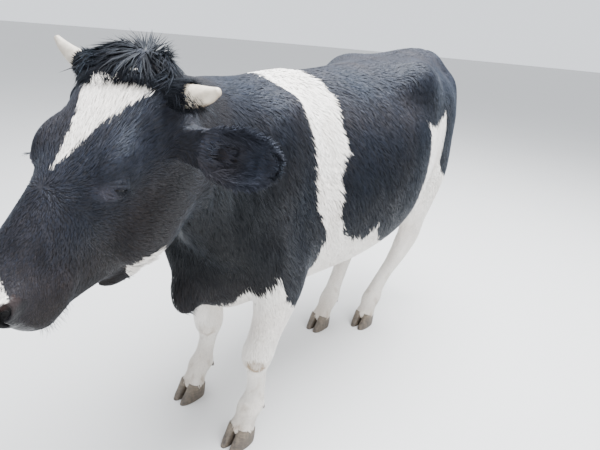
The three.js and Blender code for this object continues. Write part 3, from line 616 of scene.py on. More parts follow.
# ------------------------------------------------------------------ which part a point belongs to, and the lie of the coat there
def limb_near(P):
    """Nearest limb's (index, distance from its centre line)."""
    best, which = np.full(len(P), 9.0), np.zeros(len(P), int)
    for i, name in enumerate(LIMBS):
        x, y = look(LIMB_LINE[name], P[:, 2] / MM).T * MM
        d = np.hypot(P[:, 0] - x, P[:, 1] - y)
        m = d < best
        best[m], which[m] = d[m], i
    return which, best


def parts(P):
    """Smooth weights of head, ear, leg, tail and neck at points near the skin."""
    h, head = near_head(P)
    ears = np.full(len(P), 1.0)
    for i in (0, 1):
        a = (P - EARS[i][0]) @ EARS[i][1]
        e = ear(P, i)
        e = np.where(a > 0.012, e, 1.0)
        ears = np.minimum(ears, e)
    earw = 1 - sstep(ears, 0.004, 0.014)
    which, dist = limb_near(P)
    z = P[:, 2]
    leg = (1 - sstep(dist, 0.075, 0.16)) * (1 - sstep(z, 0.50, 0.66))
    tail = (P[:, 1] > 0.768) & (np.abs(P[:, 0]) < 0.05) & (z < 1.13)
    neck = (1 - head) * (1 - sstep(P[:, 1], -0.68, -0.40)) * sstep(z, 0.55, 0.75)
    return h, head, earw, leg, tail.astype(float), neck


WHORL = (-0.004, 0.270)                                # forehead whorl, head frame (side, along)


def lie(P, N):
    h, head, earw, leg, tail, neck = parts(P)
    x, y, z = P.T
    sgn = np.sign(x)
    side = sstep(np.abs(N[:, 0]), 0.15, 0.8)
    under = sstep(-N[:, 2], 0.3, 0.9)
    d = np.stack([sgn * 0.35 * (1 - side), 0.95 - 0.42 * side, -0.10 - 0.85 * side * (1 - 0.7 * under)], 1)
    rump = sstep(y, 0.30, 0.62)[:, None]
    d = d * (1 - rump) + rump * np.stack([sgn * 0.25, 0.35 + 0 * x, -0.95 + 0 * x], 1)
    front = (1 - sstep(y, -0.64, -0.50))[:, None] * (1 - sstep(z, 0.80, 1.0))[:, None]
    d = d * (1 - front) + front * np.array([0, 0.25, -1.0])
    nd = np.stack([-0.16 + 0.10 * sgn, 0.42 + 0 * x, -0.90 + 0 * x], 1)
    crest = sstep(N[:, 2], 0.45, 0.9)[:, None]
    nd = nd * (1 - crest) + crest * np.stack([-0.35 + 0 * x, 0.9 + 0 * x, -0.2 + 0 * x], 1)
    d = d * (1 - neck[:, None]) + nd * neck[:, None]
    d = d * (1 - leg[:, None]) + leg[:, None] * np.array([0, 0.12, -1.0])
    # head
    l, n, dd = h.T
    rl, rn = l - WHORL[0], n - WHORL[1]
    rr = np.hypot(rl, rn) + 1e-3
    top = HL * (rl / rr * 0.55)[:, None] + HN * (rn / rr)[:, None]
    cheek = HL * 0.0 + HN * (-0.45 + 1.1 * sstep(n, 0.24, 0.36))[:, None] + HD * (-0.85 + 0.45 * sstep(n, 0.25, 0.36))[:, None]
    low = sstep(-dd, 0.05, 0.11)[:, None]
    hdv = unit(top) * (1 - low) + unit(cheek) * low
    throat = sstep(-dd, 0.19, 0.25)[:, None]
    hdv = hdv * (1 - throat) + throat * (-HN * 0.9 - HD * 0.2)
    back = (1 - sstep(n, -0.01, 0.045))[:, None]
    hdv = hdv * (1 - back) + back * (-HN * 0.35 + HL * (np.sign(l) * 0.5)[:, None] * sstep(np.abs(l), 0.02, 0.07)[:, None] - HD * 0.8)
    d = unit(d) * (1 - head[:, None]) + unit(hdv) * head[:, None]
    for i in (0, 1):
        near = np.linalg.norm(P - EARS[i][0], axis=1) < 0.24
        wi = (earw * near)[:, None]
        b = ((P - EARS[i][0]) @ EARS[i][2])[:, None]
        d = d * (1 - wi) + wi * (EARS[i][1] + EARS[i][2] * b * 9)
    d = d * (1 - tail[:, None]) + tail[:, None] * np.array([0, 0.05, -1.0])
    d = unit(d) + 0.16 * np.stack([noise(P, 0.09, 1), noise(P, 0.09, 2), noise(P, 0.09, 3)], 1)
    d = d - N * (d * N).sum(1)[:, None]
    return unit(d), (h, head, earw, leg, tail, neck)


# ------------------------------------------------------------------ markings, shared by skin and coat
# Outlines in (y, z) of the black areas, one set for each side of the body
FRONT_LEFT = [(-0.485, 1.5), (-0.481, 1.205), (-0.456, 1.194), (-0.422, 1.180), (-0.398, 1.160), (-0.400, 1.134), (-0.390, 1.097),
              (-0.378, 1.053), (-0.374, 0.999), (-0.376, 0.928), (-0.377, 0.852), (-0.352, 0.806), (-0.319, 0.751), (-0.321, 0.711),
              (-0.333, 0.681), (-0.324, 0.637), (-0.352, 0.600), (-0.399, 0.579), (-0.425, 0.556), (-0.440, 0.534), (-0.482, 0.573),
              (-0.517, 0.616), (-0.532, 0.658), (-0.546, 0.674), (-0.556, 0.650), (-0.574, 0.633), (-0.583, 0.608), (-0.596, 0.585),
              (-0.600, 0.548), (-0.625, 0.512), (-0.660, 0.494), (-0.750, 0.470), (-1.6, 0.2), (-1.6, 1.5)]
FRONT_RIGHT = [(-0.485, 1.5), (-0.478, 1.200), (-0.452, 1.160), (-0.440, 1.090), (-0.415, 1.020), (-0.428, 0.930), (-0.405, 0.850),
               (-0.372, 0.770), (-0.365, 0.690), (-0.388, 0.620), (-0.440, 0.575), (-0.475, 0.552), (-0.520, 0.600), (-0.556, 0.622),
               (-0.592, 0.588), (-0.600, 0.548), (-0.625, 0.512), (-0.660, 0.494), (-0.750, 0.470), (-1.6, 0.2), (-1.6, 1.5)]
BACK_LEFT = [(-0.269, 1.5), (-0.269, 1.217), (-0.222, 1.180), (-0.219, 1.147), (-0.220, 1.115), (-0.230, 1.078), (-0.226, 1.038),
             (-0.226, 1.007), (-0.251, 0.988), (-0.266, 0.943), (-0.273, 0.867), (-0.268, 0.801), (-0.243, 0.735), (-0.196, 0.709),
             (-0.138, 0.690), (-0.105, 0.703), (-0.079, 0.738), (-0.062, 0.700), (-0.018, 0.660), (0.030, 0.622), (0.081, 0.602),
             (0.112, 0.620), (0.150, 0.660), (0.184, 0.720), (0.190, 0.795), (0.210, 0.862), (0.230, 0.925), (0.233, 0.992),
             (0.226, 1.035), (0.210, 1.066), (0.255, 1.052), (0.318, 1.050), (0.385, 1.070), (0.440, 1.088), (0.456, 1.008),
             (0.451, 0.951), (0.460, 0.872), (0.480, 0.840), (0.540, 0.805), (0.62, 0.78), (0.70, 0.74), (0.762, 0.50), (0.9, 0.50),
             (0.9, 1.5)]
BACK_RIGHT = [(-0.269, 1.5), (-0.262, 1.205), (-0.242, 1.130), (-0.262, 1.050), (-0.250, 0.970), (-0.282, 0.900), (-0.270, 0.820),
              (-0.232, 0.752), (-0.150, 0.712), (-0.050, 0.690), (0.020, 0.722), (0.060, 0.680), (0.120, 0.655), (0.150, 0.720),
              (0.180, 0.820), (0.215, 0.900), (0.205, 0.970), (0.240, 1.030), (0.300, 1.046), (0.352, 1.010), (0.395, 1.030),
              (0.425, 0.960), (0.440, 0.880), (0.490, 0.826), (0.560, 0.800), (0.62, 0.78), (0.70, 0.74), (0.762, 0.50), (0.9, 0.50),
              (0.9, 1.5)]
# Outlines of the white areas of the head, in millimetres: forehead and nose by (side, along), throat by (along, depth)
BLAZE = [(-66, 74), (-57, 97), (-43, 123), (-27, 154), (-16, 186), (-10, 216), (-6, 242), (2, 217), (13, 192), (23, 162), (32, 133),
         (41, 103), (55, 84), (62, 68), (61, 50), (46, 46), (30, 48), (8, 43), (-14, 52), (-42, 57), (-66, 66)]
SNIP = [(-38, 426), (-22, 412), (0, 404), (20, 409), (33, 420), (43, 429), (49, 430), (53, 432), (56, 438), (56, 444), (52, 443), (44, 447),
        (20, 452), (-8, 452), (-30, 448), (-42, 438)]
JAW_PATCH = [(299, -251), (304, -275), (296, -345), (258, -350), (242, -300), (239, -262), (243, -238), (250, -231), (272, -212), (288, -214)]


def white_at(P, h):
    """Signed distance in metres to the white areas: negative in white hair."""
    l, n, d = (h / MM).T
    yz = P[:, 1:] + 0.0045 * np.stack([noise(P, 0.05, 4), noise(P, 0.05, 5)], 1) + 0.0025 * np.stack([noise(P, 0.016, 6), noise(P, 0.016, 7)], 1)
    left = np.minimum(polygon(yz, FRONT_LEFT), polygon(yz, BACK_LEFT))
    right = np.minimum(polygon(yz, FRONT_RIGHT), polygon(yz, BACK_RIGHT))
    t = sstep(P[:, 0], -0.03, 0.03)
    black = left * t + right * (1 - t)
    white = -black
    switch = 0.60 + 0.02 * noise(P, 0.03, 8) - P[:, 2]
    tail = (P[:, 1] > 0.765) & (np.abs(P[:, 0]) < 0.06)
    white = np.where(tail, -switch, white)
    wob = 3.2 * np.stack([noise(P, 0.030, 9), noise(P, 0.030, 10)], 1) + 1.6 * np.stack([noise(P, 0.011, 11), noise(P, 0.011, 12)], 1)
    q = np.stack([l, n], 1) + wob
    blaze = np.where(d > -60, polygon(q, BLAZE), 50)
    snip = np.where(d > -50, polygon(q, SNIP), 50)
    jaw = np.where((l > -8) & (n > 200), polygon(np.stack([n, d], 1) + wob, JAW_PATCH), 50)
    face = np.minimum(np.minimum(blaze, snip), jaw) * MM
    on_head = near_head(P)[1] > 0.35
    return np.where(on_head, face, white)


def bare(h):
    """1 on the bare skin of the muzzle."""
    l, n, d = (h / MM).T
    rim = np.minimum(np.hypot((np.abs(l) - 43) / 1.0, d + 58), np.hypot(np.abs(l) - 54, d + 46))
    pad = sstep(n, 452, 461) * sstep(-d, 34, 44) * (1 - sstep(-d, 116, 128))
    return np.clip(np.maximum(pad, (1 - sstep(rim, 15, 21)) * sstep(n, 432, 442)) + (n > 425) * (1 - sstep(rim, 13, 17)), 0, 1)


BLACK = np.array([0.0046, 0.0053, 0.0075])
BROWN = np.array([0.0095, 0.0076, 0.0072])
WHITE = np.array([0.915, 0.876, 0.818])
STAIN = np.array([0.330, 0.245, 0.160])
PINK = np.array([0.640, 0.430, 0.370])


def coat_colour(P, h, ragged=0.0):
    """Colour of the hair rooted at P, and its whiteness."""
    w = white_at(P, h) + ragged
    white = 1 - sstep(w, -0.0012, 0.0012)
    head = near_head(P)[1]
    x, y, z = P.T
    l, n, d = h.T
    # black hair: blue-black above, browner on the underside of the neck, the jaw and round the ear
    warm = np.clip(0.55 * (1 - sstep(z, 0.75, 1.12)) * (1 - sstep(y, -0.62, -0.40)) + 0.55 * head * sstep(-d, 0.05, 0.14) + 0.18 + 0.22 * noise(P, 0.20, 13), 0, 1)
    black = BLACK * (1 - warm[:, None]) + BROWN * warm[:, None]
    corner = np.exp(-(((np.abs(l) - 0.080) / 0.022) ** 2 + ((n - 0.236) / 0.013) ** 2 + ((d + 0.040) / 0.018) ** 2))[:, None]
    black = black * (1 + 3.2 * corner * np.array([1.1, 1.0, 0.95]))
    # white hair: cream, with stains low on the legs, on the knees and by the hocks
    stain = 0.10 + 0.10 * noise(P, 0.12, 14)
    stain = stain + 0.20 * (1 - sstep(z, 0.10, 0.30)) + 0.28 * (1 - sstep(z, 0.06, 0.13)) * (0.6 + 0.6 * noise(P, 0.03, 15))
    for name in ("foreleg_left", "foreleg_right"):
        kx, ky = look(LIMB_LINE[name], 325.0) * MM
        r = np.sqrt(((x - kx - 0.032) / 0.033) ** 2 + ((y - ky + 0.040) / 0.033) ** 2 + ((z - 0.336) / 0.029) ** 2) + 0.20 * noise(P, 0.012, 16)
        stain = stain + (1.15 if name == "foreleg_left" else 0.45) * (0.38 * (1 - sstep(r, 0.5, 0.9)) + np.exp(-(((r - 0.82) / 0.24) ** 2)) * (0.6 + 0.5 * sstep(0.338 - z, -0.01, 0.015)))
    stain = stain + 0.22 * sstep(noise(P, 0.035, 17), 0.45, 0.9) * (1 - sstep(z, 0.2, 0.5))
    stain = np.clip(stain, 0, 1)[:, None]
    pink = np.clip(0.22 * (1 - sstep(z, 0.46, 0.62)) * sstep(z, 0.40, 0.50) + 0.12 * head, 0, 1)[:, None]
    pale = WHITE * (1 - stain) + STAIN * stain
    pale = pale * (1 - 0.4 * pink) + PINK * 0.4 * pink
    return black * (1 - white[:, None]) + pale * white[:, None], white


def painted_light_at(N, h, head, ear_, neck):
    """Painted light and shade on the black hair, by place: a little lighter on the body, much lighter where it faces up
    (painted sky sheen), lighter on the head and most on its upper part, and lighter in the ear, partly for the ear's
    greyer hair and partly as painted light in its shaded cup; painted shade darkens the neck where it does not face up.
    """
    up = sstep(N[:, 2], 0.15, 0.85)
    return 1 + 0.35 * (1 - head) * (1 - neck) + 2.2 * up * (1 - head) - 0.80 * neck * (1 - up) + 1.8 * head * sstep(h[:, 2], -0.16, -0.04) + 0.35 * head + 3.8 * ear_


# ------------------------------------------------------------------ unwrap of the skin's own shape, for the tufts' bake patches
def unwrap(P, h, earw, tail):
    u = 0.5 + np.arctan2(P[:, 0], P[:, 2] - 0.87) / 6.2832
    v = (P[:, 1] + 1.0) / 1.85
    uv = np.stack([0.01 + 0.66 * u, 0.01 + 0.66 * np.clip(v, 0, 1)], 1)
    head = near_head(P)[1] > 0.5
    uh = 0.5 + np.arctan2(h[:, 0], h[:, 2] + 0.10) / 6.2832
    uv[head] = np.stack([0.69 + 0.30 * uh, 0.01 + 0.42 * np.clip((h[:, 1] + 0.06) / 0.56, 0, 1)], 1)[head]
    which, dist = limb_near(P)
    leg = (P[:, 2] < 0.60) & (dist < 0.13)
    for i, name in enumerate(LIMBS):
        x, y = look(LIMB_LINE[name], P[:, 2] / MM).T * MM
        ul = 0.5 + np.arctan2(P[:, 0] - x, P[:, 1] - y) / 6.2832
        m = leg & (which == i)
        uv[m] = np.stack([0.69 + 0.075 * i + 0.07 * ul, 0.45 + 0.53 * np.clip(P[:, 2] / 0.60, 0, 1)], 1)[m]
    for i in (0, 1):
        m = (earw > 0.5) & (np.linalg.norm(P - EARS[i][0], axis=1) < 0.24)
        a, b, n, w, x, mid, _ = ear_coords(P, i)
        face = (n > mid).astype(float)
        uv[m] = np.stack([0.01 + 0.20 * i + 0.095 * face + 0.045 * (1 + np.clip(x, -1, 1)), 0.69 + 0.29 * np.clip(a / 0.16, 0, 1)], 1)[m]
    m = tail > 0.5
    ut = 0.5 + np.arctan2(P[:, 0], P[:, 1] - 0.80) / 6.2832
    uv[m] = np.stack([0.42 + 0.08 * ut, 0.69 + 0.29 * np.clip((P[:, 2] - 0.45) / 0.75, 0, 1)], 1)[m]
    return np.clip(uv, 0.003, 0.997)


# ------------------------------------------------------------------ materials
def material(name, rough, spec=0.5, sheen=0.0, sheen_rough=0.4, sheen_tint=(1, 1, 1), coat=0.0, sss=0.0):
    m = bpy.data.materials.new(name)
    m.use_nodes = True
    b = m.node_tree.nodes["Principled BSDF"]
    b.inputs["Roughness"].default_value = rough
    b.inputs["Specular IOR Level"].default_value = spec
    b.inputs["Sheen Weight"].default_value = sheen
    b.inputs["Sheen Roughness"].default_value = sheen_rough
    b.inputs["Sheen Tint"].default_value = (*sheen_tint, 1)
    b.inputs["Coat Weight"].default_value = coat
    return m, m.node_tree.nodes, m.node_tree.links, b


def attribute(nodes, name):
    a = nodes.new("ShaderNodeAttribute")
    a.attribute_name = name
    return a


coat_mat, nd, lk, bsdf = material("coat", 0.40, 0.10, 0.075, 0.34, (0.66, 0.80, 1.0))
bsdf.inputs["Specular Tint"].default_value = (0.72, 0.85, 1.0, 1)
hair_uv = nd.new("ShaderNodeUVMap")
hair_uv.uv_map = "Strand"
fine = nd.new("ShaderNodeMapping")
fine.inputs["Scale"].default_value = (9.0, 0.9, 1.0)
lk.new(hair_uv.outputs["UV"], fine.inputs["Vector"])
hairs = nd.new("ShaderNodeTexNoise")
hairs.noise_dimensions = "2D"
hairs.inputs["Scale"].default_value = 1.0
hairs.inputs["Detail"].default_value = 2.0
lk.new(fine.outputs["Vector"], hairs.inputs["Vector"])
hair_tone = nd.new("ShaderNodeMapRange")
hair_tone.inputs["From Min"].default_value, hair_tone.inputs["From Max"].default_value = 0.25, 0.75
hair_tone.inputs["To Min"].default_value, hair_tone.inputs["To Max"].default_value = 0.80, 1.12
lk.new(hairs.outputs["Fac"], hair_tone.inputs["Value"])
hair_scale = nd.new("ShaderNodeVectorMath")
hair_scale.operation = "SCALE"
lk.new(attribute(nd, "tint").outputs["Color"], hair_scale.inputs[0])
lk.new(hair_tone.outputs["Result"], hair_scale.inputs["Scale"])
lk.new(hair_scale.outputs["Vector"], bsdf.inputs["Base Color"])
hair_bump = nd.new("ShaderNodeBump")
hair_bump.inputs["Strength"].default_value = 0.35
hair_bump.inputs["Distance"].default_value = 0.0008
lk.new(hairs.outputs["Fac"], hair_bump.inputs["Height"])
lk.new(hair_bump.outputs["Normal"], bsdf.inputs["Normal"])

skin_mat, nd, lk, bsdf = material("skin", 0.6, 0.14, 0.015, 0.5, (0.8, 0.85, 1.0))
tint, bareness = attribute(nd, "tint"), attribute(nd, "bare")
tc = nd.new("ShaderNodeTexCoord")
grain = nd.new("ShaderNodeTexNoise")
grain.inputs["Scale"].default_value = 260
grain.inputs["Detail"].default_value = 4
lk.new(tc.outputs["Object"], grain.inputs["Vector"])
pebble = nd.new("ShaderNodeTexVoronoi")
pebble.inputs["Scale"].default_value = 240
lk.new(tc.outputs["Object"], pebble.inputs["Vector"])
ramp = nd.new("ShaderNodeMapRange")
ramp.inputs["From Min"].default_value, ramp.inputs["From Max"].default_value = 0.3, 0.7
ramp.inputs["To Min"].default_value, ramp.inputs["To Max"].default_value = 0.72, 1.2
lk.new(grain.outputs["Fac"], ramp.inputs["Value"])
mul = nd.new("ShaderNodeVectorMath")
mul.operation = "SCALE"
lk.new(tint.outputs["Color"], mul.inputs[0])
lk.new(ramp.outputs["Result"], mul.inputs["Scale"])
lk.new(mul.outputs["Vector"], bsdf.inputs["Base Color"])
mixh = nd.new("ShaderNodeMix")
lk.new(bareness.outputs["Fac"], mixh.inputs["Factor"])
lk.new(grain.outputs["Fac"], mixh.inputs["A"])
lk.new(pebble.outputs["Distance"], mixh.inputs["B"])
bmp = nd.new("ShaderNodeBump")
bmp.inputs["Strength"].default_value = 0.6
bmp.inputs["Distance"].default_value = 0.0012
lk.new(mixh.outputs["Result"], bmp.inputs["Height"])
lk.new(bmp.outputs["Normal"], bsdf.inputs["Normal"])
rr = nd.new("ShaderNodeMapRange")
rr.inputs["To Min"].default_value, rr.inputs["To Max"].default_value = 0.62, 0.34
lk.new(bareness.outputs["Fac"], rr.inputs["Value"])
lk.new(rr.outputs["Result"], bsdf.inputs["Roughness"])


def layered(name, base, dark, scale, stretch, rough, bump_strength, bump_distance, spec=0.5, coat=0.0):
    """Horn and claw: a colour attribute broken up by bands and streaks, with a matching bump."""
    m, n, k, b = material(name, rough, spec, coat=coat)
    a = attribute(n, "tint")
    c = n.new("ShaderNodeTexCoord")
    mp = n.new("ShaderNodeMapping")
    mp.inputs["Scale"].default_value = stretch
    k.new(c.outputs["Object"], mp.inputs["Vector"])
    t = n.new("ShaderNodeTexNoise")
    t.inputs["Scale"].default_value = scale
    t.inputs["Detail"].default_value = 5
    k.new(mp.outputs["Vector"], t.inputs["Vector"])
    r = n.new("ShaderNodeMapRange")
    r.inputs["From Min"].default_value, r.inputs["From Max"].default_value = 0.3, 0.7
    r.inputs["To Min"].default_value, r.inputs["To Max"].default_value = dark, base
    k.new(t.outputs["Fac"], r.inputs["Value"])
    s = n.new("ShaderNodeVectorMath")
    s.operation = "SCALE"
    k.new(a.outputs["Color"], s.inputs[0])
    k.new(r.outputs["Result"], s.inputs["Scale"])
    k.new(s.outputs["Vector"], b.inputs["Base Color"])
    u = n.new("ShaderNodeBump")
    u.inputs["Strength"].default_value = bump_strength
    u.inputs["Distance"].default_value = bump_distance
    k.new(t.outputs["Fac"], u.inputs["Height"])
    k.new(u.outputs["Normal"], b.inputs["Normal"])
    return m


horn_mat = layered("horn", 1.12, 0.78, 70, (1, 1, 1), 0.42, 0.5, 0.0012)
claw_mat = layered("claw", 1.25, 0.6, 90, (1, 1, 2.2), 0.5, 0.6, 0.0012)
eye_mat, nd, lk, bsdf = material("eye", 0.22, 0.35, coat=0.15)
lk.new(attribute(nd, "tint").outputs["Color"], bsdf.inputs["Base Color"])


# ------------------------------------------------------------------ mesh objects
def mesh_object(name, V, T, mat, tint=None, smooth=True, uv=None, normals=None, extra=None, strand=None):
    me = bpy.data.meshes.new(name)
    V = np.asarray(V, float) + SHIFT
    me.vertices.add(len(V))
    me.vertices.foreach_set("co", V.astype(np.float32).ravel())
    T = np.asarray(T, np.int32)
    me.loops.add(T.size)
    me.loops.foreach_set("vertex_index", T.ravel())
    me.polygons.add(len(T))
    me.polygons.foreach_set("loop_start", np.arange(0, T.size, 3, dtype=np.int32))
    me.update(calc_edges=True)
    me.polygons.foreach_set("use_smooth", np.full(len(T), smooth))
    if tint is not None:
        a = me.color_attributes.new("tint", "FLOAT_COLOR", "POINT")
        a.data.foreach_set("color", np.c_[tint, np.ones(len(tint))].astype(np.float32).ravel())
    for key, value in (extra or {}).items():
        a = me.attributes.new(key, "FLOAT", "POINT")
        a.data.foreach_set("value", np.asarray(value, np.float32))
    if uv is not None:
        layer = me.uv_layers.new(name="OFBake")
        layer.data.foreach_set("uv", np.asarray(uv, np.float32)[T.ravel()].ravel())
    if strand is not None:
        layer = me.uv_layers.new(name="Strand")
        layer.data.foreach_set("uv", np.asarray(strand, np.float32)[T.ravel()].ravel())
    if normals is not None:
        me.normals_split_custom_set_from_vertices(np.asarray(normals, np.float32))
    me.materials.append(mat)
    o = bpy.data.objects.new(name, me)
    bpy.context.scene.collection.objects.link(o)
    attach(o, "root")
    return o


h_skin = head_coords(SV)
col, s_white = coat_colour(SV, h_skin)
_, s_head, s_ear, _, s_tail, s_neck = parts(SV)
# painted light and shade on the black skin under the coat: lighter where it faces up, on the head and in the ear,
# darker on the neck
col = col * (1 + (painted_light_at(SN, h_skin, s_head, s_ear, s_neck) - 1) * (1 - s_white) * 0.9)[:, None]
s_bare = bare(h_skin) * (near_head(SV)[1] > 0.5)
mottled = sstep(noise(SV, 0.02, 18), 0.2, 0.7)
nose = np.array([0.009, 0.0086, 0.0098]) * (1 - 0.0 * mottled[:, None])
pinky = (0.12 * np.clip(1.4 - np.abs(h_skin[:, 0] - 0.030) / 0.028, 0, 1) * (1 - sstep(h_skin[:, 1], 0.450, 0.458)) * sstep(h_skin[:, 2], -0.050, -0.040))[:, None]
nose = nose * (1 - pinky) + np.array([0.36, 0.23, 0.20]) * pinky
col = col * (1 - s_bare[:, None]) + nose * s_bare[:, None]
eye_d = np.minimum(np.linalg.norm(SV - EYE_AT[0], axis=1), np.linalg.norm(SV - EYE_AT[1], axis=1))
rim = (1 - sstep(eye_d, 0.0205, 0.0222))[:, None]
col = col * (1 - 0.75 * rim)
inner = np.zeros(len(SV))
for i in (0, 1):
    a, b, n, w, x, mid, _ = ear_coords(SV, i)
    inner = np.maximum(inner, (s_ear > 0.5) * (n > mid) * (np.linalg.norm(SV - EARS[i][0], axis=1) < 0.2) * (np.abs(x) < 0.8) * (a > 0.02))
col = col * (1 - 0.5 * inner[:, None]) + np.array([0.030, 0.020, 0.017]) * 0.5 * inner[:, None]
teat = (np.abs(SV[:, 0]) < 0.06) & (SV[:, 1] > 0.28) & (SV[:, 1] < 0.43) & (SV[:, 2] < 0.64) & (SV[:, 2] > 0.55)
col[teat] = PINK * 0.9
skin_obj = mesh_object("skin", SV, ST, skin_mat, col, extra={"bare": s_bare})
FLESH_NODES = ["trunk", "neck", "head", "ear_left", "ear_right", "tail", "tail_switch"]
FLESH_NODES += [n + p for n in LIMBS for p in ("_upper", "_lower")]
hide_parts(*FLESH_NODES)
print("skin", len(SV), len(ST))


# ------------------------------------------------------------------ eyes, horns, claws
def rings_mesh(rings):
    rings = np.array(rings)
    r, m = rings.shape[:2]
    V = rings.reshape(-1, 3)
    T = []
    i = np.arange(m)
    j = (i + 1) % m
    for k in range(r - 1):
        a, b = k * m + i, k * m + j
        T += [np.stack([a, b, b + m], 1), np.stack([a, b + m, a + m], 1)]
    V = np.concatenate([V, rings[0].mean(0)[None], rings[-1].mean(0)[None]])
    c0, c1 = len(V) - 2, len(V) - 1
    T += [np.stack([np.full(m, c0), j, i], 1), np.stack([np.full(m, c1), (r - 1) * m + i, (r - 1) * m + j], 1)]
    return V, np.concatenate(T)


for i, label in ((0, "left"), (1, "right")):
    s = 1 if i == 0 else -1
    rings = []
    for t in np.linspace(0.04, np.pi - 0.04, 40):
        r, out = EYE_R * np.sin(t), EYE_R * np.cos(t)
        bulge = 0.0006 * np.exp(-((t / 0.55) ** 4))
        a = np.linspace(0, 2 * np.pi, 56, endpoint=False)
        axis_a = HN * np.cos(SLIT) + HD * np.sin(SLIT)
        axis_b = -HN * np.sin(SLIT) + HD * np.cos(SLIT)
        rings.append(EYE_AT[i] + s * HL * (out + bulge) + r * (np.cos(a)[:, None] * axis_a + np.sin(a)[:, None] * axis_b * (1 if s > 0 else -1)))
    V, T = rings_mesh(rings)
    q = (V - EYE_AT[i]) @ HM
    out = q[:, 0] * s
    aa = q[:, 1] * np.cos(SLIT) + q[:, 2] * np.sin(SLIT)
    bb = -q[:, 1] * np.sin(SLIT) + q[:, 2] * np.cos(SLIT)
    # the white of the eye is painted dark brown: painted shade under the nearly closed lids
    sclera_painted_shade = np.tile([0.10, 0.072, 0.060], (len(V), 1))
    iris = sstep(np.hypot(aa, bb) * -1, -0.0128, -0.0118)[:, None] * (out > 0)[:, None]
    pupil = (1 - sstep(np.hypot(aa / 0.0078, bb / 0.0042), 0.9, 1.1))[:, None] * (out > 0)[:, None]
    c = sclera_painted_shade * (1 - iris) + np.array([0.030, 0.016, 0.008]) * iris
    c = c * (1 - pupil) + np.array([0.003, 0.003, 0.004]) * pupil
    eye = mesh_object("eyeball_" + label, V, T, eye_mat, c)
    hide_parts("eye_" + label)

HORN = {1: [(98, 30, -14, 21), (130, 26, -8, 20), (158, 18, -1, 14.5), (179, 10, 8, 6)],
        -1: [(96, 30, -15, 18.5), (126, 26, -8, 16.5), (153, 19, 1, 11), (174, 10, 10, 5)]}
for s, label in ((1, "left"), (-1, "right")):
    line = table([[k / 3, *in_head(s * l, n, d), r * MM] for k, (l, n, d, r) in enumerate(HORN[s])], 60)
    V = []
    steps = np.concatenate([np.linspace(0, 0.96, 44), np.linspace(0.965, 1, 9)])
    for t in steps:
        c = look(line, t)
        w = unit(look(line, min(t + 0.02, 1))[:3] - look(line, max(t - 0.02, 0))[:3])
        u = unit(np.cross(HD, w))
        v = np.cross(w, u)
        r = c[3] * (1.0 if t < 0.96 else np.sqrt(max(1 - ((t - 0.96) / 0.042) ** 2, 0.02)))
        a = np.linspace(0, 2 * np.pi, 48, endpoint=False)
        rr_ = r * (1 + 0.02 * np.sin(3 * a + 4 * t) + 0.012 * np.sin(60 * t) * (1 - t) + 0.01 * np.sin(7 * a + 9 * t))
        V.append(c[:3] + rr_[:, None] * (np.cos(a)[:, None] * u + np.sin(a)[:, None] * v))
    V, T = rings_mesh(V if s > 0 else V)
    tt = np.append(np.repeat(steps, 48), [0, 1])
    # painted shade: the underside of the horn is painted brown from its middle outwards; the tip is darker brown, its
    # own colour
    under = sstep(-((V - look(line, tt)[:, :3]) @ HD), -0.004, 0.012)
    cream, brown, grey = np.array([0.62, 0.55, 0.44]), np.array([0.20, 0.135, 0.080]), np.array([0.36, 0.33, 0.30])
    base = cream if s > 0 else 0.55 * cream + 0.45 * grey
    painted_shade_and_tip_brown = np.clip(0.75 * under * sstep(tt, 0.15, 0.6) + 0.25 * sstep(tt, 0.85, 1.0) + 0.10 * noise(V, 0.02, 19), 0, 1)[:, None]
    c = base * (1 - painted_shade_and_tip_brown) + brown * painted_shade_and_tip_brown
    horn = mesh_object("horn_fine_" + label, V, T, horn_mat, c)
    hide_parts("horn_" + label)

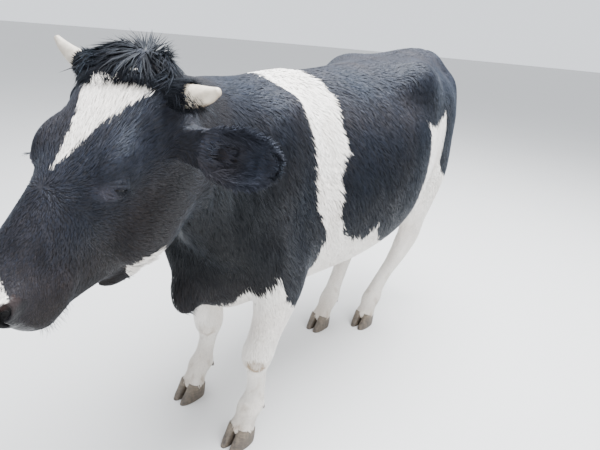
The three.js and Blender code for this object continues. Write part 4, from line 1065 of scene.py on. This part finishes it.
# claw by height: half width, reach forward, reach backward; two to a foot
CLAW = table([[0, 20.5, 76, 30], [14, 21, 68, 32], [34, 20.5, 54, 34], [56, 19.5, 41, 36], [90, 18, 30, 34]])
for name in LIMBS:
    girth, joints = LIMBS[name]
    cx, cy = joints[0][1] * MM, joints[0][2] * MM
    Vs, Ts, off = [], [], 0
    for s in (1, -1):
        rings = []
        heights = np.concatenate([[0, 0.6, 2], np.linspace(5, 78, 46)]) * MM
        for z in heights:
            w, f, b = look(CLAW, z / MM) * MM
            a = np.linspace(0, 2 * np.pi, 56, endpoint=False)
            ca, sa = np.cos(a), np.sin(a)
            hgt = np.where(sa > 0, b + 0.008, f - 0.008)
            r = (np.abs(ca) ** 2.5 + np.abs(sa) ** 2.5) ** (-1 / 2.5)
            edge = 0.0012 * np.exp(-z / 0.0008)
            ridge = 0.00045 * np.sin(z * 1500 + 2 * sa) * sstep(z, 0.006, 0.012)
            x, y = (w - edge + ridge) * ca * r, (hgt - edge + ridge) * sa * r
            # the inner wall is flatter, the toe turns in a little, the heel is softer
            x = np.where(x * s < 0, x * 0.94, x)
            x = x - s * 0.004 * np.clip(-y / 0.07, 0, 1) ** 2
            # the top follows the coronet, which slopes back to the heel
            top = 0.066 - 0.30 * (y + 0.008)
            zz = np.minimum(z, top)
            pull = 1 - 0.10 * sstep(z, 0.050, 0.078)
            rings.append(np.stack([cx + s * 0.0225 + x * pull, cy - 0.008 + y * pull, zz], 1))
        V, T = rings_mesh(rings)
        Vs.append(V)
        Ts.append(T + off)
        off += len(V)
    V, T = np.concatenate(Vs), np.concatenate(Ts)
    k = sstep(V[:, 2], 0.030, 0.066)[:, None]
    wear = np.clip(0.5 + 0.6 * noise(V * np.array([1, 1, 0.3]), 0.012, 20), 0, 1)[:, None]
    c = np.array([0.060, 0.048, 0.038]) * (1 - k) + np.array([0.120, 0.095, 0.070]) * k
    c = c * (1 - 0.4 * wear) + np.array([0.20, 0.16, 0.115]) * 0.4 * wear
    claw = mesh_object("claws_" + name, V, T, claw_mat, c)
    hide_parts(name + "_claw_outer", name + "_claw_inner")
    # dewclaws behind the fetlock
    Vs, Ts, off = [], [], 0
    fx, fy = look(LIMB_LINE[name], 122.0) * MM
    back = (40 if name.startswith("fore") else 41) * MM
    for s in (1, -1):
        a0 = np.array([fx + s * 0.020, fy + back - 0.006, 0.132])
        a1 = a0 + np.array([s * 0.004, 0.012, -0.030])
        rings = []
        for t in np.linspace(0, 1, 10):
            c0 = a0 + (a1 - a0) * t
            r = 0.0105 * np.sqrt(max(1 - t**2.2, 0.03)) * (0.8 + 0.2 * min(t * 4, 1))
            a = np.linspace(0, -2 * np.pi, 20, endpoint=False)
            rings.append(c0 + np.stack([r * np.cos(a), 0.8 * r * np.sin(a), 0.35 * r * np.sin(a)], 1))
        V, T = rings_mesh(rings)
        Vs.append(V)
        Ts.append(T + off)
        off += len(V)
    V, T = np.concatenate(Vs), np.concatenate(Ts)
    mesh_object("dewclaws_" + name, V, T, claw_mat, np.tile([0.075, 0.06, 0.046], (len(V), 1)))


# ------------------------------------------------------------------ the coat
def tufts(P, N, D, length, width, tip_h, colour, white, uv, bend=None, rings=1, thick=0.32, taper=0.62, settle=True, lift=None):
    """Closed spindles: a root point, one or two three-sided rings and a tip. Heights are above the skin."""
    n = len(P)
    D = unit(D)
    S = unit(np.cross(D, N))
    L, w, th = length[:, None], width[:, None], tip_h[:, None]
    bend = np.zeros(n) if bend is None else bend
    roll = rng.uniform(-0.35, 0.35, n)[:, None]
    root = P - N * 0.0012
    if rings == 1:
        stations = [(0.42, 1.0, 0.62)]
    else:
        stations = [(0.26, 0.85, 0.45), (0.62, taper, 0.88)]
    tip = P + D * L + S * (bend[:, None] * L * 0.30) + N * th
    mids = [P + D * L * t + S * (bend[:, None] * L * 0.30 * t * t) + N * th * hh for t, _, hh in stations]
    if lift is not None:
        tip = tip + lift * L
        mids = [m + lift * L * t**1.3 for m, (t, _, _) in zip(mids, stations)]
    if settle:
        for _ in range(2):
            e = skin_sample(tip)
            tip = tip + N * np.clip(tip_h - e, -0.02, 0.02)[:, None] * 0.8
        for k, (t, _, hh) in enumerate(stations):
            e = skin_sample(mids[k])
            mids[k] = mids[k] + N * np.clip(tip_h * hh - e, -0.02, 0.02)[:, None] * 0.9
    verts, norms = [root], [N]
    for m, (t, k, _) in zip(mids, stations):
        half = w * k * 0.5
        verts += [m + S * half, m + N * half * 2 * thick + S * roll * half, m - S * half]
        norms += [N + S * 0.55, N + S * roll * 0.5, N - S * 0.55]
    verts.append(tip)
    norms.append(N + D * 0.25)
    per = len(verts)
    V = np.stack(verts, 1).reshape(-1, 3)
    jitter = np.repeat(rng.normal(0, 0.09, (n, 3)), per, axis=0)
    NN = unit(np.stack([unit(x) for x in norms], 1).reshape(-1, 3) + jitter)
    faces = []
    for a, b in ((1, 2), (2, 3), (3, 1)):
        faces.append((0, a, b))
        for r in range(rings - 1):
            faces += [(a + 3 * r, a + 3 * r + 3, b + 3 * r + 3), (a + 3 * r, b + 3 * r + 3, b + 3 * r)]
        k = 3 * (rings - 1)
        faces.append((a + k, per - 1, b + k))
    faces = np.array(faces)
    T = (np.arange(n)[:, None, None] * per + faces[None]).reshape(-1, 3)
    c = np.repeat(colour, per, axis=0)
    # painted shade at the root, where the tufts shade one another, and a little lighter at the tip
    shade = np.ones(per)
    shade[0] = 0.6
    shade[-1] = 1.12
    wrep = np.repeat(white, per)
    sh = np.tile(shade, n)
    c = c * (sh * (1 - wrep) + (0.93 + 0.07 * sh) * wrep)[:, None]
    off = np.zeros((per, 2))
    off[:, 0] = np.linspace(-0.0013, 0.0013, per)
    off[1:-1, 1] = np.tile([-0.0013, 0, 0.0013], rings)
    UV = (uv[:, None, :] + off[None]).reshape(-1, 2)
    across = np.concatenate([[0.5], np.tile([0, 0.5, 1], rings), [0.5]])
    along = np.concatenate([[0], np.repeat([t for t, _, _ in stations], 3), [1]])
    strand = np.stack([across, along], 1)[None] + rng.integers(0, 400, (n, 1, 2)) * np.array([1.5, 2.5])
    return V, T, c, UV, NN, strand.reshape(-1, 2)


def skin_sample(P, chunk=200000):
    out = np.empty(len(P))
    for i in range(0, len(P), chunk):
        out[i:i + chunk] = skin(P[i:i + chunk])
    return out


# roots, spread evenly over the skin by weight
area = 0.5 * np.linalg.norm(fn, axis=1)
tc_ = SV[ST].mean(1)
tn_ = unit(fn)


def density(P, N):
    h, head, earw, leg, tail, neck = parts(P)
    l, n, d = h.T
    rho = np.full(len(P), 27000.0)
    under = sstep(-N[:, 2], 0.3, 0.8) * (1 - head)
    rho = rho + (45000 - rho) * neck
    rho = rho + (52000 - rho) * leg
    rho = rho + (75000 - rho) * (leg * (P[:, 2] < 0.36))
    rho = rho * (1 - 0.35 * under)
    rho = rho + (105000 - rho) * head
    rho = rho + (170000 - rho) * head * sstep(n, 0.33, 0.40)
    rho = rho + (150000 - rho) * earw
    rho = rho + (60000 - rho) * tail
    rho = rho * (1 - bare(h) * head)
    r = np.minimum(np.linalg.norm(P - EYE_AT[0], axis=1), np.linalg.norm(P - EYE_AT[1], axis=1))
    open_ = sstep(r, 0.0206, 0.0218)
    rho = rho * open_
    rho = np.where(r < 0.04, np.maximum(rho, 190000 * open_), rho)
    which, dist = limb_near(P)
    for i, name in enumerate(LIMBS):
        fy = LIMBS[name][1][0][2] * MM
        rho = np.where((which == i) & (P[:, 2] < 0.12), rho * sstep(P[:, 2] + 0.30 * (P[:, 1] - fy), 0.058, 0.067), rho)
    md = look(MOUTH, np.clip(n, 0.355, 0.485))[:, 0]
    lip = (head > 0.5) & (np.abs(d - md) < 0.004) & (n > 0.36)
    rho = np.where(lip, 0, rho)
    return rho


rho = density(tc_, tn_)
mass = area * rho
total = int(mass.sum())
print("roots", total)
order = np.lexsort((tc_[:, 0] // 0.05, tc_[:, 2] // 0.04, tc_[:, 1] // 0.04))
cum = np.cumsum(mass[order])
marks = (np.arange(total) + rng.uniform(0, 1, total)) * cum[-1] / total
tri = order[np.minimum(np.searchsorted(cum, marks), len(order) - 1)]
r1, r2 = np.sqrt(rng.uniform(0, 1, total)), rng.uniform(0, 1, total)
bc = np.stack([1 - r1, r1 * (1 - r2), r1 * r2], 1)
RP = (SV[ST[tri]] * bc[:, :, None]).sum(1)
RN = unit((SN[ST[tri]] * bc[:, :, None]).sum(1))
RD, (rh, rhead, rear, rleg, rtail, rneck) = lie(RP, RN)
n_ = rh[:, 1]
d_ = rh[:, 2]
l_ = rh[:, 0]
RUV = unwrap(RP, rh, rear, rtail)
ragged = rng.normal(0, 0.0016, total)
RC, RW = coat_colour(RP, rh, ragged)
# lighter and darker streaks along the lie, strongest on the neck: painted sheen streaks
painted_sheen_streak = noise(RP * np.array([1, 1, 0.22]), 0.020, 21) * (0.35 * rneck + 0.16 * (1 - rneck))
tone = np.clip(1 + 0.09 * rng.normal(0, 1, total) + painted_sheen_streak + 0.10 * noise(RP, 0.05, 23), 0.5, 1.8)
RC = RC * (tone * (1 - RW) + (1 + (tone - 1) * 0.22) * RW)[:, None]
# painted light and shade on the black hair: lighter where it faces up, on the head and in the ear, darker on the neck
painted_light = painted_light_at(RN, rh, rhead, rear, rneck)
RC = RC * (painted_light * (1 - RW) + RW)[:, None]
hue = rng.normal(0, 1, total)[:, None]
RC = RC * (1 + (1 - RW[:, None]) * hue * np.array([0.05, 0.01, -0.05]))

# length, width and standing height by place
L = np.full(total, 0.034)
Wd = np.full(total, 0.0042)
H = np.full(total, 0.0040)


def blend_to(v, target, w):
    return v + (target - v) * w


L, Wd, H = blend_to(L, 0.038, rneck), blend_to(Wd, 0.0040, rneck), blend_to(H, 0.0058, rneck)
brisk = np.exp(-(((RP[:, 1] + 0.66) / 0.13) ** 2 + ((RP[:, 2] - 0.60) / 0.13) ** 2))
L, H = blend_to(L, 0.048, brisk), blend_to(H, 0.0085, brisk)
belly = sstep(-RN[:, 2], 0.4, 0.9) * (1 - rhead) * (1 - rleg)
L, H = blend_to(L, 0.036, belly), blend_to(H, 0.0065, belly)
L, Wd, H = blend_to(L, 0.024, rleg), blend_to(Wd, 0.0034, rleg), blend_to(H, 0.0038, rleg)
lowleg = rleg * (RP[:, 2] < 0.36)
L, Wd, H = blend_to(L, 0.015, lowleg), blend_to(Wd, 0.0025, lowleg), blend_to(H, 0.0028, lowleg)
which_, _ = limb_near(RP)
fet = np.zeros(total)
for i, name in enumerate(LIMBS):
    x, y = look(LIMB_LINE[name], RP[:, 2] / MM).T * MM
    m = (which_ == i) & (RP[:, 1] > y + 0.006)
    fet[m] = (np.exp(-(((RP[:, 2] - 0.115) / 0.028) ** 2)))[m]
L, H = blend_to(L, 0.026, fet), blend_to(H, 0.0065, fet)
cor = lowleg * np.exp(-(((RP[:, 2] - 0.070) / 0.014) ** 2))
L, H = blend_to(L, 0.020, cor), blend_to(H, 0.0075, cor)
fore = np.exp(-(((n_ - 0.09) / 0.075) ** 2)) * sstep(d_, -0.08, -0.02)
Lf = 0.0125 + 0.014 * fore + 0.008 * sstep(-d_, 0.12, 0.2) * (1 - sstep(n_, 0.25, 0.36))
Lf = Lf * (1 - 0.62 * sstep(n_, 0.34, 0.43))
Hf = 0.0023 + 0.0030 * fore - 0.0011 * sstep(n_, 0.34, 0.43)
Wf = 0.0025 - 0.0010 * sstep(n_, 0.33, 0.42)
L, Wd, H = blend_to(L, Lf, rhead), blend_to(Wd, Wf, rhead), blend_to(H, Hf, rhead)
reye = np.minimum(np.linalg.norm(RP - EYE_AT[0], axis=1), np.linalg.norm(RP - EYE_AT[1], axis=1))
weye = 1 - sstep(reye, 0.022, 0.040)
L, Wd, H = blend_to(L, 0.0050, weye), blend_to(Wd, 0.0014, weye), blend_to(H, 0.0010, weye)
L, Wd, H = blend_to(L, 0.016, rear), blend_to(Wd, 0.0024, rear), blend_to(H, 0.0034, rear)
L, Wd, H = blend_to(L, 0.040, rtail), blend_to(Wd, 0.0045, rtail), blend_to(H, 0.0068, rtail)
var = rng.uniform(0.72, 1.22, total)
L, Wd, H = L * var, Wd * rng.uniform(0.75, 1.25, total), H * rng.uniform(0.75, 1.1, total)
bend = 0.22 * rng.normal(0, 1, total) + 0.5 * noise(RP, 0.06, 22)
RD = unit(RD + 0.065 * rng.normal(0, 1, (total, 3)))
RD = unit(RD - RN * (RD * RN).sum(1)[:, None])

group = np.full(total, "coat_trunk", dtype="U12")
group[rneck > 0.5] = "coat_neck"
group[(rleg > 0.5) & (RP[:, 1] < 0)] = "coat_fore"
group[(rleg > 0.5) & (RP[:, 1] >= 0)] = "coat_hind"
group[rtail > 0.5] = "coat_tail"
group[rhead > 0.5] = "coat_head"
group[rear > 0.5] = "coat_ear"
MOST = 33000
COUNT = [len(ST)]
for g in np.unique(group):
    idx = np.flatnonzero(group == g)
    n_chunks = int(np.ceil(len(idx) / MOST))
    for c in range(n_chunks):
        part = idx[np.sort(np.arange(c * len(idx) // n_chunks, (c + 1) * len(idx) // n_chunks))]
        V, T, C_, UV, NN, ST_ = tufts(RP[part], RN[part], RD[part], L[part], Wd[part], H[part], RC[part], RW[part], RUV[part], bend[part])
        mesh_object(g + ("_%d" % (c + 1) if n_chunks > 1 else ""), V, T, coat_mat, C_, uv=UV, normals=NN, strand=ST_)
        COUNT.append(len(T))


# ------------------------------------------------------------------ long locks: poll, ears, switch, lashes, chin
def on_skin(P, N=None, steps_=4):
    """Points moved onto the skin, with their normals."""
    e = 0.0015
    for _ in range(steps_):
        d = skin_sample(P)
        G = np.stack([skin_sample(P + XYZ[i] * e) - skin_sample(P - XYZ[i] * e) for i in range(3)], 1) / (2 * e)
        P = P - G * (d / np.maximum((G * G).sum(1), 0.1))[:, None]
    return P, unit(G)


def locks(name, P, N, D, length, width, tip_h, lift=None, bend_=0.5, settle=False, dark=1.0, colour=None):
    k = len(P)
    h, head, earw, leg, tail, neck = parts(P)
    c, w = coat_colour(P, h, rng.normal(0, 0.003, k))
    if colour is not None:
        c, w = np.broadcast_to(colour, (k, 3)).copy(), np.zeros(k)
    tn = np.clip(1 + 0.22 * rng.normal(0, 1, k), 0.5, 1.7) * dark
    c = c * (tn * (1 - w) + (1 + (tn - 1) * 0.25) * w)[:, None]
    uv = unwrap(P, h, earw, tail)
    b = bend_ * rng.normal(0, 1, k)
    V, T, C_, UV, NN, ST_ = tufts(P, N, D, length, width, tip_h, c, w, uv, b, rings=2, settle=settle, lift=lift)
    mesh_object(name, V, T, coat_mat, C_, uv=UV, normals=NN, strand=ST_)
    COUNT.append(len(T))


q = 1.0
# poll: long hair that falls from the crown to both sides and down to the top of the blaze, lying in layers
def fall(count, half_l, n0, n1, apex):
    ang, rad = rng.uniform(0, 2 * np.pi, count), np.sqrt(rng.uniform(0, 1, count))
    gl, gn = half_l * rad * np.cos(ang), (n0 + n1) / 2 + (n1 - n0) / 2 * rad * np.sin(ang)
    P0 = POLL + gl[:, None] * HL + gn[:, None] * HN - HD * 0.004
    P0, N0 = on_skin(P0)
    hh = head_coords(P0)
    out_l, out_n = hh[:, 0] - apex[0], hh[:, 1] - apex[1]
    dirs = unit(HL * (out_l * 1.15)[:, None] + HN * out_n[:, None] + 1e-5)
    return P0, N0, dirs, hh, rad


k = int(7600 * q)
P0, N0, dirs, hh, rad = fall(k, 0.102, -0.052, 0.046, (0.004, -0.020))
wave = noise(P0, 0.030, 31)[:, None] * HL + noise(P0, 0.030, 32)[:, None] * HN
dirs = unit(dirs + 0.16 * rng.normal(0, 1, (k, 3)) + 0.22 * wave)
D0 = unit(dirs - N0 * (dirs * N0).sum(1)[:, None])
keep = hh[:, 1] < 0.045 - 0.26 * np.clip(hh[:, 0], -0.07, 0.07)
P0, N0, D0, hh, rad = P0[keep], N0[keep], D0[keep], hh[keep], rad[keep]
k = len(P0)
forward = np.maximum(D0 @ HN, 0.05)
limit = 0.058 - 0.26 * np.clip(hh[:, 0] + 0.045 * (D0 @ HL), -0.07, 0.07) + rng.normal(0, 0.005, k)     # where the blaze begins
reach = np.where(D0 @ HN > 0.05, (limit - hh[:, 1]) / forward, 1.0)
beside = np.where(D0 @ HL < -0.05, (hh[:, 0] + 0.098 + rng.normal(0, 0.006, k)) / np.maximum(-(D0 @ HL), 0.05), 1.0)
reach = np.minimum(reach, np.maximum(beside, 0.012))
Lp = np.clip(np.minimum(rng.uniform(0.050, 0.088, k), reach), 0.012, 0.09)
layer_ = rng.uniform(0, 1, k) ** 0.8
edge = 1 - sstep(rad, 0.55, 1.0)
warmth = np.clip(0.25 + 0.2 * rng.normal(0, 1, k), 0, 1)[:, None]
locks("coat_poll", P0, N0, D0, Lp, 0.0040 * rng.uniform(0.6, 1.3, k), (0.003 + 0.009 * layer_ * (0.35 + 0.65 * edge)), bend_=0.4, settle=True, dark=1.15, colour=BLACK * (1 - warmth) + BROWN * warmth)
k = int(230 * q)
P0, N0, dirs, hh, rad = fall(k, 0.034, -0.036, -0.002, (0.004, -0.020))
D0 = unit(dirs * 1.0 + HD * 0.02 + 0.12 * rng.normal(0, 1, (k, 3)))
locks("coat_crown", P0, N0, D0, rng.uniform(0.030, 0.048, k), 0.0032 * rng.uniform(0.6, 1.3, k), np.full(k, 0.005), bend_=0.8, dark=1.1)
# white locks of the blaze that stand up a little where they meet the black hair of the poll
k = int(90 * q)
gl = rng.uniform(-0.034, 0.004, k)
gn = 0.064 - 0.26 * gl + rng.uniform(0.0, 0.012, k)
P0, N0 = on_skin(POLL + gl[:, None] * HL + gn[:, None] * HN)
D0 = unit(-HN * 0.9 + HL * (gl * 5 - 0.1 + 0.35 * rng.normal(0, 1, k))[:, None] + N0 * 0.55)
locks("coat_forelock", P0, N0, D0, rng.uniform(0.012, 0.022, k), 0.0017 * rng.uniform(0.6, 1.3, k), rng.uniform(0.002, 0.006, k), bend_=0.8)
# hair round the roots of the horns, lying out along them
for s, label in ((1, "left"), (-1, "right")):
    h0, h1 = in_head(s * HORN[s][0][0], *HORN[s][0][1:3]), in_head(s * HORN[s][1][0], *HORN[s][1][1:3])
    A_ = unit(h1 - h0)
    B_ = unit(np.cross(A_, HD))
    C_2 = np.cross(A_, B_)
    k = int(1500 * q)
    ang = rng.uniform(0, 2 * np.pi, k)
    ring = np.cos(ang)[:, None] * B_ + np.sin(ang)[:, None] * C_2
    r0 = HORN[s][0][3] * MM
    P0 = h0 + A_ * rng.uniform(-0.012, 0.010 if s > 0 else 0.000, k)[:, None] + ring * (r0 + rng.uniform(0.0015, 0.0050, k))[:, None]
    D0 = unit(A_ * 1.0 + ring * 0.05 + 0.06 * rng.normal(0, 1, (k, 3)))
    locks("coat_horn_root_" + label, P0, ring, D0, rng.uniform(0.018, 0.034, k) * (1.0 if s > 0 else 0.75), 0.0028 * rng.uniform(0.6, 1.3, k), np.full(k, 0.0004), bend_=0.3, dark=1.0)

# ears: a fringe round the rim, and long hair inside the cup
for i, label in ((0, "left"), (1, "right")):
    o, E, W, N = EARS[i]
    k = int(2400 * q)
    a = rng.uniform(0.020, 0.158, k)
    sgn = rng.choice([-1.0, 1.0], k)
    w, curl, back = look(EAR, a).T
    x = sgn * rng.uniform(0.80, 0.97, k)
    P0 = o + E * a[:, None] + W * ((w - 0.003) * x)[:, None] + N * (back + (curl - back) * x * x)[:, None]
    P0, N0 = on_skin(P0, steps_=2)
    D0 = unit(E * 0.9 + W * (sgn * (0.25 + 0.35 * (1 - a / 0.16)))[:, None] + N * 0.05 + 0.14 * rng.normal(0, 1, (k, 3)))
    Lr = 0.020 * rng.uniform(0.6, 1.3, k) * (1 - 0.35 * sstep(a, 0.12, 0.16))
    # the rim fringe is lightened 4.6 times over the black: partly the ear's greyer hair, partly painted light against
    # the shade of the cup
    locks("coat_ear_rim_" + label, P0, N0, D0, Lr, 0.0026 * rng.uniform(0.7, 1.3, k), np.full(k, 0.001), bend_=0.4, dark=4.6)
    k = int(900 * q)
    a = rng.uniform(0.035, 0.11, k)
    x = np.sign(rng.uniform(-1, 1, k)) * rng.uniform(0.35, 0.88, k)
    w, curl, back = look(EAR, a).T
    P0 = o + E * a[:, None] + W * (w * x)[:, None] + N * (back + (curl - back) * x * x + 0.004)[:, None]
    P0, N0 = on_skin(P0, steps_=2)
    D0 = unit(E * 0.95 - W * (0.20 * x)[:, None] + N * 0.22 + 0.14 * rng.normal(0, 1, (k, 3)))
    # the hair inside the cup is lightened 5.4 times over the black: partly the ear's greyer hair, partly painted light
    # against the shade inside the cup
    locks("coat_ear_inside_" + label, P0, N0, D0, 0.028 * rng.uniform(0.6, 1.3, k), 0.0024 * rng.uniform(0.7, 1.3, k), np.full(k, 0.0015), bend_=0.4, dark=5.4)

# switch of the tail
k = int(2600 * q)
z = 0.50 + 0.16 * rng.uniform(0, 1, k) ** 1.2
ang = rng.uniform(0, 2 * np.pi, k)
r = 0.013
P0 = np.stack([r * np.cos(ang), 0.799 + r * np.sin(ang), z], 1)
N0 = np.stack([np.cos(ang), np.sin(ang), 0 * ang], 1)
D0 = unit(np.array([0, 0, -1.0]) + N0 * 0.11 + 0.05 * rng.normal(0, 1, (k, 3)))
Ls = np.minimum(0.16 * rng.uniform(0.75, 1.2, k), z - 0.318)
locks("coat_switch", P0, N0, D0, Ls, 0.0050 * rng.uniform(0.6, 1.3, k), np.full(k, 0.004), bend_=0.25)

# lashes
for i, label in ((0, "left"), (1, "right")):
    s = 1 if i == 0 else -1
    k = 70
    a = np.linspace(-0.0150, 0.0150, k) + rng.normal(0, 0.0004, k)
    axis_a = HN * np.cos(SLIT) + HD * np.sin(SLIT)
    axis_b = -HN * np.sin(SLIT) + HD * np.cos(SLIT)
    b = -0.0016 + 0.0026 * (a / 0.016) ** 2 + 0.0026 * np.maximum(1 - (a / 0.0165) ** 2, 0) + 0.0008
    outw = np.sqrt(np.maximum(0.0222**2 - a**2 - b**2, 1e-8))
    P0 = EYE_AT[i] + s * HL * outw[:, None] + axis_a * a[:, None] + axis_b * b[:, None]
    N0 = unit(P0 - EYE_AT[i])
    D0 = unit(s * HL * 0.85 + axis_a * (a * 22)[:, None] - axis_b * 0.45 + 0.12 * rng.normal(0, 1, (k, 3)))
    locks("coat_lashes_" + label, P0, N0, D0, 0.017 * rng.uniform(0.7, 1.2, k), np.full(k, 0.0010), np.full(k, 0.001), bend_=0.3, colour=np.array([0.012, 0.012, 0.014]))

# long white hair along the lower edge of the jaw
k = int(2600 * q)
gn, gd = rng.uniform(0.232, 0.312, k), rng.uniform(-0.290, -0.214, k)
P0, N0 = on_skin(POLL + HL * 0.060 + HN * gn[:, None] + HD * gd[:, None])
keep = white_at(P0, head_coords(P0)) < -0.001
P0, N0 = P0[keep], N0[keep]
k = len(P0)
D0 = unit(-HD * 0.8 - HN * 0.35 + HL * 0.10 + 0.14 * rng.normal(0, 1, (k, 3)))
D0 = unit(D0 - N0 * (D0 * N0).sum(1)[:, None] * 0.7)
locks("coat_jaw", P0, N0, D0, rng.uniform(0.014, 0.026, k), 0.0026 * rng.uniform(0.6, 1.3, k), rng.uniform(0.002, 0.007, k), bend_=0.4)

# chin and lip whiskers
k = 260
P0 = POLL + HL * rng.uniform(-0.045, 0.045, k)[:, None] + HN * rng.uniform(0.40, 0.468, k)[:, None] + HD * -0.185
P0, N0 = on_skin(P0, steps_=6)
D0 = unit(N0 * 0.8 + HN * 0.35 - HD * 0.2 + 0.2 * rng.normal(0, 1, (k, 3)))
locks("coat_chin", P0, N0, D0, 0.020 * rng.uniform(0.5, 1.3, k), np.full(k, 0.0010), np.full(k, 0.001), bend_=0.4)


# ------------------------------------------------------------------ floor, light and camera
def simple(name, colour, rough):
    m, n, k, b = material(name, rough, 0.3)
    t = n.new("ShaderNodeTexNoise")
    t.inputs["Scale"].default_value = 1.2
    c = n.new("ShaderNodeTexCoord")
    k.new(c.outputs["Object"], t.inputs["Vector"])
    r = n.new("ShaderNodeMapRange")
    r.inputs["To Min"].default_value, r.inputs["To Max"].default_value = 0.985, 1.015
    k.new(t.outputs["Fac"], r.inputs["Value"])
    s = n.new("ShaderNodeVectorMath")
    s.operation = "SCALE"
    s.inputs[0].default_value = colour
    k.new(r.outputs["Result"], s.inputs["Scale"])
    k.new(s.outputs["Vector"], b.inputs["Base Color"])
    return m


me = bpy.data.meshes.new("floor")
m = 96
ang = np.linspace(0, 2 * np.pi, m, endpoint=False)
R = 60.0
me.from_pydata([(R * np.cos(t), R * np.sin(t), 0) for t in ang], [], [list(range(m))])
me.materials.append(simple("floor", (0.56, 0.555, 0.545), 0.8))
floor = bpy.data.objects.new("floor", me)
bpy.context.scene.collection.objects.link(floor)

world = bpy.data.worlds.new("studio")
bpy.context.scene.world = world
world.use_nodes = True
world.node_tree.nodes["Background"].inputs["Color"].default_value = (0.86, 0.90, 0.96, 1)
world.node_tree.nodes["Background"].inputs["Strength"].default_value = 1.62


def area_light(name, at, towards, size, power, colour=(1, 1, 1)):
    d = bpy.data.lights.new(name, "AREA")
    d.shape, d.size, d.energy, d.color = "DISK", size, power, colour
    o = bpy.data.objects.new(name, d)
    z = unit(np.array(at, float) - np.array(towards, float))
    x = unit(np.cross([0, 0, 1.0], z) if abs(z[2]) < 0.99 else np.array([1.0, 0, 0]))
    y = np.cross(z, x)
    o.matrix_world = Matrix(((x[0], y[0], z[0], at[0]), (x[1], y[1], z[1], at[1]), (x[2], y[2], z[2], at[2]), (0, 0, 0, 1)))
    bpy.context.scene.collection.objects.link(o)


area_light("sky", (0.6, 0.9, 4.6), (0.0, 0.0, 0.8), 4.5, 1250, (0.93, 0.96, 1.0))
area_light("fill", (3.6, -3.2, 2.4), (0.1, -0.4, 0.9), 3.5, 75, (1.0, 0.97, 0.93))

# camera: place and angles in the animal's own frame, focal length in pixels of a 600-pixel-wide picture
CAM_AT = np.array([0.995, -1.457, 1.323]) + SHIFT
YAW, PITCH, ROLL, FOCAL = np.radians(127.55), np.radians(22.12), np.radians(5.04), 471.09
fw = np.array([np.cos(PITCH) * np.cos(YAW), np.cos(PITCH) * np.sin(YAW), -np.sin(PITCH)])
rt = unit(np.cross(fw, [0, 0, 1.0]))
up = np.cross(rt, fw)
r2, u2 = rt * np.cos(ROLL) + up * np.sin(ROLL), -rt * np.sin(ROLL) + up * np.cos(ROLL)
cam_data = bpy.data.cameras.new("camera")
cam_data.sensor_width, cam_data.sensor_fit, cam_data.lens = 36.0, "HORIZONTAL", 36.0 * FOCAL / 600
cam_data.clip_start, cam_data.clip_end = 0.02, 200
cam = bpy.data.objects.new("camera", cam_data)
cam.matrix_world = Matrix(((r2[0], u2[0], -fw[0], CAM_AT[0]), (r2[1], u2[1], -fw[1], CAM_AT[1]), (r2[2], u2[2], -fw[2], CAM_AT[2]), (0, 0, 0, 1)))
bpy.context.scene.collection.objects.link(cam)
bpy.context.scene.camera = cam

print("triangles", sum(COUNT))
